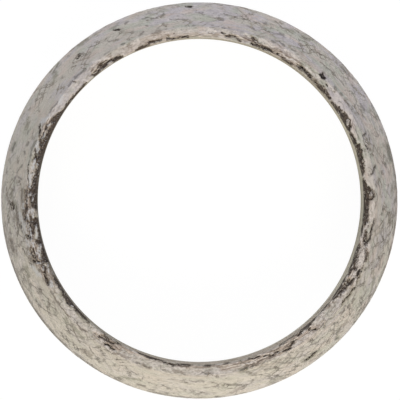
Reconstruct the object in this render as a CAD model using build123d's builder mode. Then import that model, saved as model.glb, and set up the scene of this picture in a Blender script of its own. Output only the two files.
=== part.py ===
"""Exhaust ring gasket: one ring of knitted wire and filler, pressed to shape in a die.

The ring lies flat on its wide back face, with +Z up its axis and the origin at the
centre of that face. A short straight land runs up from the back, then the outside
curves in as a true ball seat to a narrow flat nose. The bore is a plain cylinder.
The pressed skin is broken in places: shallow bites run round the inner rim of the
nose, and a few small pits lie on the nose and on the seat.
"""

import os
from math import sqrt

from build123d import *

# Sizes of the section, in millimetres
bore_diameter = 54.4  # slips over a pipe of 54 mm
wall = 6.15  # from the bore to the widest outside
height = 14.3
land_height = 2.5  # straight band between the back face and the seat
nose_width = 1.9  # flat small end, from the bore to the seat
back_outer_round = 0.7
back_inner_round = 0.5
land_round = 2.0  # blends the land into the seat
nose_outer_round = 0.3
nose_inner_round = 0.3

# Bites out of the nose's inner rim: angle round the ring in degrees,
# half the length along the rim and the depth across the corner, in millimetres
rim_bites = [
    (1.6, 1.9, 0.85),
    (6.2, 1.5, 0.40),
    (12.0, 2.2, 0.45),
    (18.6, 2.0, 0.65),
    (23.0, 1.2, 0.40),
    (28.0, 1.5, 0.80),
    (32.8, 1.6, 0.55),
    (40.2, 1.7, 0.50),
    (48.0, 1.6, 0.48),
    (52.4, 1.5, 0.55),
    (57.6, 1.4, 0.50),
    (67.4, 1.7, 0.50),
    (71.4, 1.0, 0.85),
    (78.4, 1.6, 0.48),
    (99.0, 1.2, 0.36),
    (106.0, 1.5, 0.42),
    (111.2, 1.5, 0.38),
    (119.6, 1.0, 0.42),
    (125.4, 2.1, 0.78),
    (139.6, 1.4, 0.38),
    (149.8, 1.7, 0.55),
    (155.8, 2.0, 0.90),
    (163.6, 1.9, 0.80),
    (172.0, 2.1, 0.70),
    (178.6, 2.0, 1.05),
    (185.6, 1.8, 1.00),
    (192.0, 1.7, 0.95),
    (198.6, 1.7, 0.90),
    (204.0, 1.3, 0.60),
    (216.4, 1.8, 0.62),
    (223.6, 1.7, 0.45),
    (236.6, 2.2, 0.85),
    (250.4, 1.6, 0.36),
    (260.6, 1.9, 0.55),
    (273.0, 1.1, 0.42),
    (279.4, 0.8, 0.42),
    (289.0, 1.3, 0.52),
    (298.0, 1.3, 0.72),
    (309.6, 1.8, 0.58),
    (325.6, 2.2, 0.70),
    (332.6, 1.7, 0.85),
    (339.6, 1.8, 0.72),
    (348.6, 1.9, 0.86),
    (355.6, 1.7, 0.62),
]

# Pits in the seat: angle round the ring in degrees, share of the way up from the
# land to the nose, half the length and the depth, in millimetres
seat_pits = [
    (14.0, 0.16, 1.05, 0.16),
    (45.4, 1.00, 0.70, 0.30),
    (93.3, 0.26, 0.55, 0.17),
    (115.8, 0.47, 0.45, 0.14),
    (129.8, 0.57, 0.42, 0.14),
    (181.5, 0.57, 0.42, 0.16),
    (305.6, 0.42, 0.95, 0.12),
    (342.2, 0.42, 0.60, 0.12),
]

bore_radius = bore_diameter / 2
outer_radius = bore_radius + wall
nose_radius = bore_radius + nose_width

# The seat is part of a ball whose centre lies on the axis, and it passes through
# the top of the land and the outer edge of the nose
ball_centre_z = (
    (height**2 + nose_radius**2 - land_height**2 - outer_radius**2)
    / (2 * (height - land_height))
)
ball_radius = sqrt(outer_radius**2 + (land_height - ball_centre_z) ** 2)


def scoop(angle, toward, half_length, depth):
    """A ball that scoops a hollow out of the skin.

    Its angle is round the ring in degrees, and half_length and depth are the hollow's
    own. toward takes how far the ball's centre stands off the skin, and gives that
    centre's distance from the axis and its height.
    """
    radius = (half_length**2 + depth**2) / (2 * depth)
    out, up = toward(radius - depth)
    return Rot(0, 0, angle) * Pos(out, 0, up) * Sphere(radius)


def off_the_rim(distance):
    """A point that far off the nose's inner rim, halfway between up and inwards."""
    return bore_radius - distance / sqrt(2), height + distance / sqrt(2)


def off_the_seat(share):
    """The same, square to the seat, a share of the way up from the land."""
    rise = land_height + share * (height - land_height) - ball_centre_z
    run = sqrt(ball_radius**2 - rise**2)

    def point(distance):
        stretch = 1 + distance / ball_radius
        return run * stretch, ball_centre_z + rise * stretch

    return point


scoops = [scoop(angle, off_the_rim, length, depth) for angle, length, depth in rim_bites]
scoops += [
    scoop(angle, off_the_seat(share), length, depth)
    for angle, share, length, depth in seat_pits
]

with BuildPart() as ring:
    with BuildSketch(Plane.XZ) as section:
        with BuildLine():
            back = Line((bore_radius, 0), (outer_radius, 0))
            land = Line(back @ 1, (outer_radius, land_height))
            seat = RadiusArc(land @ 1, (nose_radius, height), -ball_radius)
            nose = Line(seat @ 1, (bore_radius, height))
            Line(nose @ 1, back @ 0)
        make_face()
        rounds = [
            (back @ 0, back_inner_round),
            (back @ 1, back_outer_round),
            (land @ 1, land_round),
            (nose @ 0, nose_outer_round),
            (nose @ 1, nose_inner_round),
        ]
        for corner, radius in rounds:
            fillet(section.vertices().sort_by_distance(corner)[0], radius)
    revolve(axis=Axis.Z)
    add(scoops, mode=Mode.SUBTRACT)

ring.part.label = "gasket_ring"

os.makedirs("parts", exist_ok=True)
export_step(ring.part, "parts/gasket_ring.step")
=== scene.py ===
"""The looks of an exhaust ring gasket: knitted wire and filler, pressed into one ring.

The ring lies on its wide back face with +Z up its axis, as the CAD model has it.
Shapes are worked out in millimetres and turned to metres when a mesh is made.
A place on the skin has two numbers: its angle round the ring, anticlockwise from
+X, and its way across, the distance along the section from the bore's upper end,
out over the nose and down the seat. Down the bore, the way across is negative.
"""

import logging
from dataclasses import dataclass, field
from enum import Enum
from typing import Any, Sequence

import bpy
import numpy as np
from mathutils import Matrix, Vector


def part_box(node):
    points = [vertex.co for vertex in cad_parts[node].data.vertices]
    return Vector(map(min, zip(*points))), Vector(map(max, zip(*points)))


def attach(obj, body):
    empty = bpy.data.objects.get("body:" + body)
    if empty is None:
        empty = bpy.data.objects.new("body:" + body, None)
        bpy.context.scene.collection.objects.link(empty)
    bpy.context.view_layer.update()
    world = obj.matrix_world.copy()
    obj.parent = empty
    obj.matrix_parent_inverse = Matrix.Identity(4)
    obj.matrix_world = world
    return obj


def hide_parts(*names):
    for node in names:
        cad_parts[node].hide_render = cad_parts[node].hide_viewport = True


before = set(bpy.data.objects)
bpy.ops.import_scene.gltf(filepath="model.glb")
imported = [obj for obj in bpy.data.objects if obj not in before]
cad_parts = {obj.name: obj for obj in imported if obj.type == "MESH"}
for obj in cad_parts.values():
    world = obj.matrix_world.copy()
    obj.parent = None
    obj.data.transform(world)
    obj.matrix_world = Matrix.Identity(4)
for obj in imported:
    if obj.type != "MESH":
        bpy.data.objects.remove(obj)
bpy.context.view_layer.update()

Array = np.ndarray
Marks = Sequence[tuple[float, float, float, float, float]]
Band = Sequence[tuple[float, float, float]]
Shares = Sequence[tuple[float, float]]
Tree = bpy.types.NodeTree
Socket = bpy.types.NodeSocket

NODE = "gasket_ring"
BODY = "root"
TO_METRES = 0.001
MIDDLE_RADIUS = 30.0
LOG = logging.getLogger("gasket")

# Random values along each side of the noise's block, and how far a seed shifts it
NOISE_BLOCK = 32
NOISE_SHIFT = 0.37

# Strength and seed of each layer of noise against the one before
LAYER_STRENGTH = 0.55
LAYER_SEED_STEP = 11

# Sockets of the Mix node that take its two colours
COLOUR_A = 6
COLOUR_B = 7


class Zone(Enum):
    """The stretches of the section, in the order that the way across meets them."""

    RIM = "inner round of the nose"
    NOSE = "flat nose"
    SHOULDER = "outer round of the nose"
    HIGH_SEAT = "upper half of the ball seat"
    LOW_SEAT = "lower half of the ball seat"
    LAND = "blend, land and outer round of the back"
    BACK = "flat back face"
    HEEL = "inner round of the back"
    LOW_BORE = "lower part of the bore"
    HIGH_BORE = "last stretch of the bore below the nose"


def linear_colour(code: str) -> tuple[float, float, float, float]:
    """Turns an sRGB hex code into a linear colour.

    Args:
        code: the colour, such as "#B7AFA5".

    Returns:
        Red, green, blue and an alpha of 1, for a node's colour socket.
    """
    parts = np.array([int(code[at:at + 2], 16) for at in (1, 3, 5)]) / 255
    linear = np.where(parts <= 0.04045, parts / 12.92, ((parts + 0.055) / 1.055) ** 2.4)
    return (*linear.tolist(), 1.0)


def add_node(tree: Tree, kind: str, inputs: dict[Any, Any] | None = None,
             **settings: Any) -> bpy.types.Node:
    """Adds one node with its settings and its links.

    Args:
        tree: the node tree that takes it.
        kind: the node's type name without "ShaderNode".
        inputs: socket name or number to a value, or to an output socket to link.
        settings: the node's own properties.

    Returns:
        The new node.
    """
    made = tree.nodes.new("ShaderNode" + kind)
    for name, value in settings.items():
        setattr(made, name, value)
    for socket, value in (inputs or {}).items():
        if isinstance(value, Socket):
            tree.links.new(value, made.inputs[socket])
        else:
            made.inputs[socket].default_value = value
    return made


def empty_tree(owner: bpy.types.Material | bpy.types.World) -> Tree:
    """Turns on the nodes of a material or a world, and clears them."""
    owner.use_nodes = True
    owner.node_tree.nodes.clear()
    return owner.node_tree


def lattice_noise(points: Array, cell: float, seed: int) -> Array:
    """Smooth random values in space.

    Each corner of a cubic lattice has a random value from -1 to 1, and the value at
    a point is the mean of its cell's eight corners, weighted by 3 t^2 - 2 t^3 of the
    share t of the way from one corner to the next along each axis.

    Args:
        points: places, with x, y and z along the last axis, in millimetres.
        cell: the lattice's spacing, in millimetres.
        seed: picks the random values.

    Returns:
        One value for each point.
    """
    block = np.random.default_rng(seed).uniform(-1, 1, (NOISE_BLOCK,) * 3)
    place = points / cell + NOISE_SHIFT * seed
    low = np.floor(place).astype(int)
    share = place - low
    share = share * share * (3 - 2 * share)
    total = np.zeros(points.shape[:-1])
    for corner in np.ndindex(2, 2, 2):
        weight = np.where(corner, share, 1 - share).prod(axis=-1)
        at = (low + corner) % NOISE_BLOCK
        total += weight * block[at[..., 0], at[..., 1], at[..., 2]]
    return total


def layered_noise(points: Array, cell: float, seed: int, layers: int = 3) -> Array:
    """Adds up lattice noise, each layer with half the cell and 0.55 of the strength.

    Args:
        points: places in millimetres.
        cell: the first layer's spacing, in millimetres.
        seed: picks the random values.
        layers: how many layers.

    Returns:
        One value for each point, mostly from -1 to 1.
    """
    total = np.zeros(points.shape[:-1])
    for layer in range(layers):
        noise = lattice_noise(points, cell / 2**layer, seed + LAYER_SEED_STEP * layer)
        total += LAYER_STRENGTH**layer * noise
    return total


@dataclass(frozen=True)
class Noise:
    """Layered noise of one strength, whose first layer's cell is in millimetres."""

    strength: float
    cell: float
    seed: int
    layers: int = 3

    def at(self, points: Array) -> Array:
        """The noise at these places."""
        return self.strength * layered_noise(points, self.cell, self.seed, self.layers)


def eased(value: Array, low: float, high: float) -> Array:
    """Rises from 0 at low to 1 at high along 3 t^2 - 2 t^3."""
    share = np.clip((value - low) / (high - low), 0, 1)
    return share * share * (3 - 2 * share)


def around(angle: Array, radius: Array, height: Array) -> Array:
    """The points at these angles, radii and heights, as x, y and z on the last axis."""
    return np.stack(
        np.broadcast_arrays(radius * np.cos(angle), radius * np.sin(angle), height), axis=-1)


def drawn_out(points: Array, stretch: float, middle: float = MIDDLE_RADIUS) -> Array:
    """Shrinks the ring to a smaller one with the same section.

    The distance from the axis loses middle times (1 - 1 / stretch). Noise read at
    these points is longer along the ring by about the stretch, and has no seam.

    Args:
        points: places on the ring, in millimetres.
        stretch: how much longer the noise comes out along the ring.
        middle: the ring's mean radius, in millimetres.

    Returns:
        The moved points.
    """
    out = np.hypot(points[..., 0], points[..., 1])
    scale = (out - middle * (1 - 1 / stretch)) / out
    return np.stack([points[..., 0] * scale, points[..., 1] * scale, points[..., 2]], axis=-1)


def mesh_object(name: str, points: Array, faces: Array, material: bpy.types.Material,
                values: dict[str, Array] | None = None) -> bpy.types.Object:
    """Puts worked-out points and faces into a smooth mesh object at the origin.

    Args:
        name: the piece's name.
        points: one row of x, y and z for each point, in millimetres.
        faces: one row of point numbers for each face, anticlockwise seen from outside.
        material: the piece's finish.
        values: attribute name to one row for each point, with 1, 3 or 4 numbers.

    Returns:
        The object, linked to the scene.
    """
    mesh = bpy.data.meshes.new(name)
    count, sides = faces.shape
    mesh.vertices.add(len(points))
    mesh.vertices.foreach_set("co", (points * TO_METRES).astype(np.float32).ravel())
    mesh.loops.add(count * sides)
    mesh.loops.foreach_set("vertex_index", faces.astype(np.int32).ravel())
    mesh.polygons.add(count)
    mesh.polygons.foreach_set("loop_start", np.arange(0, count * sides, sides, dtype=np.int32))
    mesh.polygons.foreach_set("use_smooth", np.ones(count, bool))
    for key, rows in (values or {}).items():
        width = 1 if rows.ndim == 1 else rows.shape[1]
        kind, part = {1: ("FLOAT", "value"), 3: ("FLOAT_VECTOR", "vector"),
                      4: ("FLOAT_COLOR", "color")}[width]
        attribute = mesh.attributes.new(key, kind, "POINT")
        attribute.data.foreach_set(part, rows.astype(np.float32).ravel())
    mesh.update(calc_edges=True)
    mesh.validate()
    mesh.materials.append(material)
    made = bpy.data.objects.new(name, mesh)
    bpy.context.scene.collection.objects.link(made)
    return made


@dataclass(frozen=True)
class RingSection:
    """The ring's section, in millimetres, with the same sizes as the CAD source."""

    outer_radius: float
    height: float
    bore_radius: float = 27.2
    land_height: float = 2.5
    nose_width: float = 1.9
    back_outer_round: float = 0.7
    back_inner_round: float = 0.5
    land_round: float = 2.0
    nose_outer_round: float = 0.3
    nose_inner_round: float = 0.3
    rows: dict[Zone, int] = field(default_factory=lambda: {
        Zone.RIM: 5, Zone.NOSE: 13, Zone.SHOULDER: 3, Zone.HIGH_SEAT: 28, Zone.LOW_SEAT: 19,
        Zone.LAND: 8, Zone.BACK: 6, Zone.HEEL: 3, Zone.LOW_BORE: 6, Zone.HIGH_BORE: 6})
    high_bore: float = 2.4
    seat_points: int = 600
    round_points: int = 24

    @property
    def nose_radius(self) -> float:
        """The radius where the nose would meet the seat with no round."""
        return self.bore_radius + self.nose_width

    @property
    def ball_centre(self) -> float:
        """The height of the seat's ball centre, which lies on the axis."""
        return (self.height**2 + self.nose_radius**2 - self.land_height**2
                - self.outer_radius**2) / (2 * (self.height - self.land_height))

    @property
    def ball_radius(self) -> float:
        """The radius of the ball that the seat is part of."""
        return float(np.hypot(self.outer_radius, self.land_height - self.ball_centre))

    def arcs(self) -> dict[str, tuple[float, float, float, float, float]]:
        """The rounds and the seat, each a circle's part in the plane of radius and height.

        A round that touches the ball inside has its centre at the ball's radius less
        its own from the ball's centre, and touches the ball in line with both centres.

        Returns:
            Name to the centre's radius and height, the arc's radius, and its first
            and last angle in radians, from the radius's axis towards the height's.
        """
        inner, outer = self.nose_inner_round, self.nose_outer_round
        level = self.height - outer
        nose_centre = np.sqrt((self.ball_radius - outer) ** 2 - (level - self.ball_centre) ** 2)
        high_end = np.arctan2(level - self.ball_centre, nose_centre)
        blend = self.outer_radius - self.land_round
        rise = np.sqrt((self.ball_radius - self.land_round) ** 2 - blend**2)
        low_end = np.arctan2(rise, blend)
        quarter = np.pi / 2
        return {
            "rim": (self.bore_radius + inner, self.height - inner, inner, 2 * quarter, quarter),
            "shoulder": (nose_centre, level, outer, quarter, high_end),
            "seat": (0.0, self.ball_centre, self.ball_radius, high_end, low_end),
            "blend": (blend, self.ball_centre + rise, self.land_round, low_end, 0.0),
            "back": (self.outer_radius - self.back_outer_round, self.back_outer_round,
                     self.back_outer_round, 0.0, -quarter),
            "heel": (self.bore_radius + self.back_inner_round, self.back_inner_round,
                     self.back_inner_round, -quarter, -2 * quarter),
        }

    def trace(self) -> tuple[Array, Array]:
        """Follows the whole section, closely enough to read any place from it.

        Each arc's point is its centre plus its radius times the cosine and sine of the
        angle, and straight stretches join one arc's end to the next one's start.

        Returns:
            The points as radius and height, with the first repeated at the end, and
            the way across at each.
        """
        pieces = []
        for name, (radius, height, size, start, end) in self.arcs().items():
            angle = np.linspace(start, end, self.seat_points if name == "seat" else self.round_points)
            pieces.append(np.stack([radius + size * np.cos(angle), height + size * np.sin(angle)], 1))
        points = np.concatenate(pieces + [pieces[0][:1]])
        steps = np.hypot(*np.diff(points, axis=0).T)
        return points, np.concatenate([[0.0], np.cumsum(steps)])

    def zone_ends(self) -> dict[Zone, tuple[float, float]]:
        """Lines the zones up from the rim round to the upper bore.

        Returns:
            Zone to the way across at its start and end.
        """
        rim, shoulder, seat, blend, back, heel = (
            size * abs(end - start) for _, _, size, start, end in self.arcs().values())
        arcs = self.arcs()
        nose = arcs["shoulder"][0] - arcs["rim"][0]
        land = arcs["blend"][1] - arcs["back"][1]
        flat = arcs["back"][0] - arcs["heel"][0]
        bore = arcs["rim"][1] - arcs["heel"][1]
        lengths = {
            Zone.RIM: rim, Zone.NOSE: nose, Zone.SHOULDER: shoulder, Zone.HIGH_SEAT: seat / 2,
            Zone.LOW_SEAT: seat / 2, Zone.LAND: blend + land + back, Zone.BACK: flat,
            Zone.HEEL: heel, Zone.LOW_BORE: bore - self.high_bore, Zone.HIGH_BORE: self.high_bore}
        ends = np.concatenate([[0.0], np.cumsum(list(lengths.values()))])
        return {zone: (ends[at], ends[at + 1]) for at, zone in enumerate(lengths)}

    def row_places(self) -> Array:
        """The way across at each row of the skin's mesh, evenly spaced in each zone."""
        return np.concatenate([
            np.linspace(*ends, self.rows[zone], endpoint=False)
            for zone, ends in self.zone_ends().items()])

    def at(self, across: Array) -> tuple[Array, Array, Array, Array]:
        """Reads the section at a way across.

        Args:
            across: ways across, where any whole number of turns may be added.

        Returns:
            Radius and height, and the outward normal's radial and upward parts.
        """
        points, reach = self.trace()
        across = np.mod(across, reach[-1])
        radius = np.interp(across, reach, points[:, 0])
        height = np.interp(across, reach, points[:, 1])
        step = 0.01
        before, after = np.mod(across - step, reach[-1]), np.mod(across + step, reach[-1])
        run = np.interp(after, reach, points[:, 0]) - np.interp(before, reach, points[:, 0])
        rise = np.interp(after, reach, points[:, 1]) - np.interp(before, reach, points[:, 1])
        length = np.hypot(run, rise)
        return radius, height, -rise / length, run / length


@dataclass(frozen=True)
class TopView:
    """The photograph's view, down on the nose from a little to the left.

    A mark is read in the photograph as an angle and a distance in pixels from the
    middle of the outline, in the 400-pixel frame. A point is seen at its place times
    the lens's reach in pixels, divided by its depth below the camera, and levels
    above the widest one also seem to drift away from the camera's side. The outline
    and the innermost place on the ring are such distances.
    """

    section: RingSection
    camera: tuple[float, float, float] = (-17.0, 12.0, 1080.0)
    outline: float = 198.25
    innermost: float = 161.2
    aim_offset: tuple[float, float] = (0.094, 0.095)
    levels: int = 3000
    least_step: float = 0.4

    @property
    def widest(self) -> float:
        """The height at which the ring is widest, which gives the outline."""
        return float(self.section.arcs()["blend"][1])

    @property
    def reach(self) -> float:
        """The lens's reach in pixels, from the size at which the outline is seen."""
        return self.outline * (self.camera[2] - self.widest) / self.section.outer_radius

    def seen_step(self) -> float:
        """Millimetres to a pixel at the widest level."""
        return self.section.outer_radius / self.outline

    def table(self) -> tuple[Array, Array, Array]:
        """Lists levels from the bore's foot over the nose to the land.

        Returns:
            The way across, the radius and the height at each.
        """
        ends = self.section.zone_ends()
        start = ends[Zone.HEEL][1] - ends[Zone.HIGH_BORE][1]
        ways = np.linspace(start, ends[Zone.LOW_SEAT][1], self.levels)
        radius, height, _, _ = self.section.at(ways)
        return ways, radius, height

    def place(self, degrees: float, seen: float) -> tuple[float, float]:
        """Finds the place on the skin that is seen at an angle and a distance.

        For each level, the seen place plus the level's drift, divided by the level's
        scale, is the place on the ring. The level whose radius fits is the one seen.

        Args:
            degrees: the angle in the photograph, anticlockwise from the right.
            seen: the distance from the outline's middle, in pixels.

        Returns:
            The angle round the ring in radians, and the way across.
        """
        ways, radius, height = self.table()
        depth = self.camera[2] - height
        drift = self.reach * (1 / depth - 1 / (self.camera[2] - self.widest))
        x = seen * np.cos(np.radians(degrees)) + drift * self.camera[0]
        y = seen * np.sin(np.radians(degrees)) + drift * self.camera[1]
        short = radius * self.reach / depth - np.hypot(x, y)
        way = float(np.interp(0.0, short, ways))
        angle = np.arctan2(np.interp(way, ways, y), np.interp(way, ways, x))
        return float(angle), way

    def flat(self, across: Array) -> Array:
        """How far out a way across seems to lie, with no stretch too squeezed.

        It adds up the larger of the seen step and the least step times the step along
        the section, so that a mark's width in the photograph fits the steep seat too.

        Args:
            across: ways across, in millimetres.

        Returns:
            The distance out at each, in millimetres.
        """
        ways, radius, height = self.table()
        seen = radius * self.reach / (self.camera[2] - height) * self.seen_step()
        steps = np.maximum(np.diff(seen), self.least_step * np.diff(ways))
        out = np.concatenate([[0.0], np.cumsum(steps)])
        far = out[-1] + self.least_step * (across - ways[-1])
        near = self.least_step * (across - ways[0])
        between = np.interp(across, ways, out)
        return np.where(across > ways[-1], far, np.where(across < ways[0], near, between))


class Tone(Enum):
    """What a mark on the skin shows, and its place in the tones attribute."""

    TORN = 0
    CUT = 1
    BROWN = 2
    PALE = 3


@dataclass(frozen=True)
class Wear:
    """The marks on the skin: torn places, streaks, clean flakes and smudges.

    A band follows the nose's inner rim. Its points are an angle in degrees and the
    seen distances, in pixels, of its inner and outer edge. The inner edge is then
    moved in by a reach in pixels, listed by angle. Every other mark is a stroke from one
    place to another: angle and seen distance at its start, the same at its end, and
    half its width in millimetres. The nose's wear, the outline's wear and painted shade,
    and the bore's painted shade are shares, listed by angle.
    """

    rim_bands: Sequence[Band] = (
        ((-8, 165, 169.4), (-6.5, 165, 169.6), (-4, 165.4, 169.2), (-2, 164.8, 169.6), (0, 164.6, 170.4),
         (2, 164.8, 169), (4, 165, 168.8), (6, 164.8, 167.6), (7.6, 165, 166)),
        ((8.7, 165.2, 166.2), (10, 165.2, 167.4), (12, 165, 168), (14, 165, 168.3), (16, 165.2, 169),
         (18, 165.5, 169.7), (19.4, 166, 170.6)),
        ((19.6, 165, 168.4), (22, 164.8, 168), (24.6, 164.4, 165.8)),
        ((25, 164.6, 166), (26, 164, 168.6), (27.4, 162.8, 170.2), (28.6, 165, 171.4), (30, 165, 171),
         (32, 165, 168.7), (34, 164.6, 168), (36, 164, 165.8), (37.4, 164.4, 166.8)),
        ((38.2, 165, 166.4), (40, 165, 167.6), (42, 164.8, 168), (43.6, 164.6, 166.4),
         (45.4, 165.2, 166.2), (46.4, 165.4, 166.2)),
        ((47, 165.2, 166.8), (48.5, 165.4, 167.6), (50, 167, 168.8), (51.8, 168, 170), (52.6, 167, 169),
         (54.4, 165.8, 167.4)),
        ((55.6, 163.8, 165), (58, 163.6, 165.4), (60, 163.8, 164.8)),
        ((64, 165.2, 166.2), (66, 164.8, 167.2), (67.5, 164, 167.6), (69, 164.2, 167), (71, 165, 167),
         (72.2, 165, 166)),
        ((69.5, 169.4, 171), (71, 166.6, 172.4), (72.6, 171.6, 173)),
        ((75.4, 165.8, 166.8), (77, 166.2, 168), (79, 167, 168.9), (81.2, 166.4, 167.8)),
        ((93.8, 163.8, 164.7), (96, 163.9, 165), (98, 164.5, 165.6), (100.2, 164.9, 166.4),
         (100.6, 164.8, 168.2), (101, 165, 166)),
        ((103, 164.6, 165.5), (104.4, 165, 166.2), (106, 165.6, 166.8), (107.8, 166.4, 167.2)),
        ((108.2, 162.8, 163.8), (110, 163, 164.7), (112, 163.2, 164.8), (113.6, 163.2, 164.2)),
        ((118.2, 163, 163.8), (119.4, 162.8, 165.6), (120.6, 162.8, 166.6), (121.8, 163, 165.6)),
        ((121.4, 165.6, 166.4), (123, 166.4, 168.2), (124.4, 165.6, 168.6), (126.4, 165, 169.6),
         (127.6, 164.6, 168), (129, 164, 166.4), (130.6, 163.8, 165.4)),
        ((134, 163, 163.5), (138, 163, 163.6), (140, 163, 164.1), (142, 163.2, 163.9), (144, 162.8, 163.6),
         (147, 162.8, 164.4), (148.6, 163, 166.6), (150, 163, 168), (152, 163, 168.4), (153, 163, 166),
         (156, 163, 166), (158, 163.4, 167), (160, 163.4, 168.6), (162, 163.4, 168), (164, 163, 169),
         (166, 163, 168), (168, 163, 165.4), (170, 163, 166), (172, 163, 167.6), (174, 163, 168),
         (175.4, 163, 169.8), (177, 162.8, 171.4), (180, 162.6, 169), (182, 162.6, 167.6),
         (183.2, 162.6, 164)),
        ((185, 163, 164), (186.2, 162.8, 167.8), (187.4, 163, 169.8), (188.4, 163, 167.6),
         (189.4, 163, 164.6)),
        ((188.6, 162.4, 163.6), (192.4, 162.4, 164.4), (194, 163, 168.4), (195.6, 162.8, 166),
         (197, 162.4, 166), (199, 162.6, 166.4), (200.4, 163, 168.4), (201.8, 163, 167), (202.4, 163, 164)),
        ((207, 163, 164.6), (210, 163, 166.2), (212, 163, 165), (213, 162.8, 164.4), (214.4, 162.8, 166),
         (216, 163, 167.4), (217.8, 163.4, 168.6), (219.2, 163.6, 167), (220.2, 163.4, 165.4),
         (222, 163, 166.6), (224, 163, 166.2), (226.6, 163, 164.6)),
        ((226.9, 163.8, 165), (228, 164.2, 166.2)),
        ((232, 162, 163), (233.6, 162.2, 164), (236, 162, 163.2)),
        ((234.2, 165.8, 167), (236, 165.6, 167.4), (237.2, 166, 166.8)),
        ((239, 163.4, 164.4), (240, 163, 165.8), (241, 163, 164.6)),
        ((246.2, 162.8, 163.4), (248, 162.6, 163.8), (250, 162.8, 164), (251.4, 163.8, 165),
         (254, 163.6, 164.8), (256, 163.9, 164.8), (258, 164.5, 165.8), (260, 165.8, 167.2),
         (261.6, 165.4, 167), (262.4, 164.4, 165.8), (265, 163.9, 164.9), (267.4, 163.6, 164.3)),
        ((271.6, 164.9, 165.8), (272.6, 164.3, 165.4), (275.4, 164.3, 164.9)),
        ((278.2, 162.8, 164.8), (279, 162.4, 165.4), (280.2, 162.8, 164.8)),
        ((298.8, 163.6, 165.4), (300, 162.8, 166), (301.2, 163.6, 165), (303.6, 164, 165),
         (305.4, 164.2, 165.2)),
        ((312.6, 164, 165), (314.4, 163.9, 164.8), (316, 163.7, 164.7)),
        ((305.8, 166.6, 168), (307, 166.4, 168.4), (308, 164.8, 168), (309.2, 164.6, 166.6),
         (311, 164.8, 167.4), (313, 164.8, 166)),
        ((315.6, 163.6, 164.4), (318, 163.8, 165), (320, 164, 165.8), (322, 164.6, 166.8)),
        ((323.4, 165, 167.6), (325, 165, 169), (327.2, 165, 169.6), (328.4, 165, 171.6), (330, 165, 171),
         (332, 164.6, 166.6), (335.4, 164.8, 168), (336, 165, 172), (338, 164.8, 170.4),
         (340, 164.6, 168.4), (342, 164.6, 167.6), (344.4, 164.6, 167)),
        ((346, 171, 172.6), (348, 169.4, 172), (350, 168.6, 170.6)),
        ((347, 167, 168.6), (349, 165.2, 169), (352, 165, 168)),
    )
    torn_streaks: Marks = (
        (0.4, 170.8, 1.3, 174.6, 0.24), (1.3, 174.8, 1.5, 176.2, 0.13), (1.6, 174.2, 3.4, 171.8, 0.24),
        (0.9, 172.8, 2.8, 172.8, 0.3), (2.4, 171.2, 4.4, 170, 0.2), (41.9, 170.4, 42.2, 170.6, 0.12),
        (61.4, 165.4, 62, 165.2, 0.18), (82, 168.2, 82.3, 168.8, 0.12), (154.4, 177, 157.2, 174.6, 0.06),
        (157.2, 174.6, 158.6, 171.2, 0.1), (158.4, 171.2, 160.4, 167.4, 0.22),
        (153.6, 171.4, 155.2, 169.2, 0.2), (156.4, 170.4, 158.2, 168.4, 0.16),
        (162.6, 170.4, 165.6, 169.8, 0.28), (177, 173.8, 178.4, 173.4, 0.24),
        (179.8, 173.2, 182.6, 173.4, 0.26), (182.6, 174.8, 187.4, 174.2, 0.26),
        (185.4, 168.4, 189.2, 171.2, 0.26), (188.8, 171, 192.8, 173, 0.2),
        (189.4, 168, 191.2, 169.4, 0.18), (191.4, 176, 192.8, 172.4, 0.26),
        (195.6, 175.4, 197.4, 175.8, 0.16), (196.2, 172.6, 198.4, 173.8, 0.14),
        (198.2, 175.4, 200.8, 173.2, 0.2), (199.6, 177.6, 200.6, 175.4, 0.14),
        (200.4, 169.2, 204, 170.4, 0.26), (203.8, 170.4, 208.8, 172.8, 0.22), (233, 169.4, 235, 168, 0.14),
        (237, 172.4, 238.6, 170.2, 0.17), (287.4, 165.2, 290.8, 167.4, 0.2),
        (292.6, 169, 294.4, 170, 0.13), (294, 172.4, 297.2, 170.2, 0.14),
        (296.6, 168.8, 297.8, 170.2, 0.24), (299.2, 171.4, 301.4, 172, 0.22),
        (301.6, 170.4, 305, 170.2, 0.1), (310, 170, 312.2, 174, 0.1), (303.4, 192, 307.6, 192, 0.14),
        (310.2, 169.2, 311, 168.6, 0.14), (326, 170.8, 332, 169.4, 0.12), (336.6, 168.6, 344, 167.4, 0.12),
        (345, 170.4, 352, 169.6, 0.14), (324.4, 177, 330.4, 177.4, 0.15),
        (330.4, 178.4, 334.4, 178.2, 0.12), (330.6, 170.6, 333, 172.2, 0.18),
        (334.4, 176.6, 336.4, 173.6, 0.3), (340.2, 177.6, 343, 176.4, 0.16),
        (338, 176.8, 343, 174.4, 0.14), (341.2, 170.4, 342.6, 170.6, 0.1),
        (168, 174.6, 175.6, 171.8, 0.07), (136.5, 170.6, 136.9, 173.8, 0.09),
        (336.2, 177, 341, 176.6, 0.11), (345.4, 171.8, 347.6, 174.6, 0.11),
        (347.6, 174.6, 350.6, 175.2, 0.1), (350.6, 175.2, 353.6, 175, 0.07), (9, 174.4, 9.5, 176, 0.09),
        (10, 177, 11, 178.2, 0.07), (17, 176.2, 18, 175.8, 0.11), (21.5, 176.8, 21.8, 178.4, 0.08),
        (236.8, 172.6, 240, 171.4, 0.1), (187.6, 180.8, 188.8, 180.6, 0.12),
        (111.6, 171.8, 112.4, 170.4, 0.06), (114.2, 172.6, 114.8, 171.6, 0.04),
        (235, 166.6, 236.6, 167.8, 0.12), (237.2, 167.6, 239, 166.2, 0.12),
        (233.8, 168.6, 235.6, 167.8, 0.1),
    )
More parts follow.
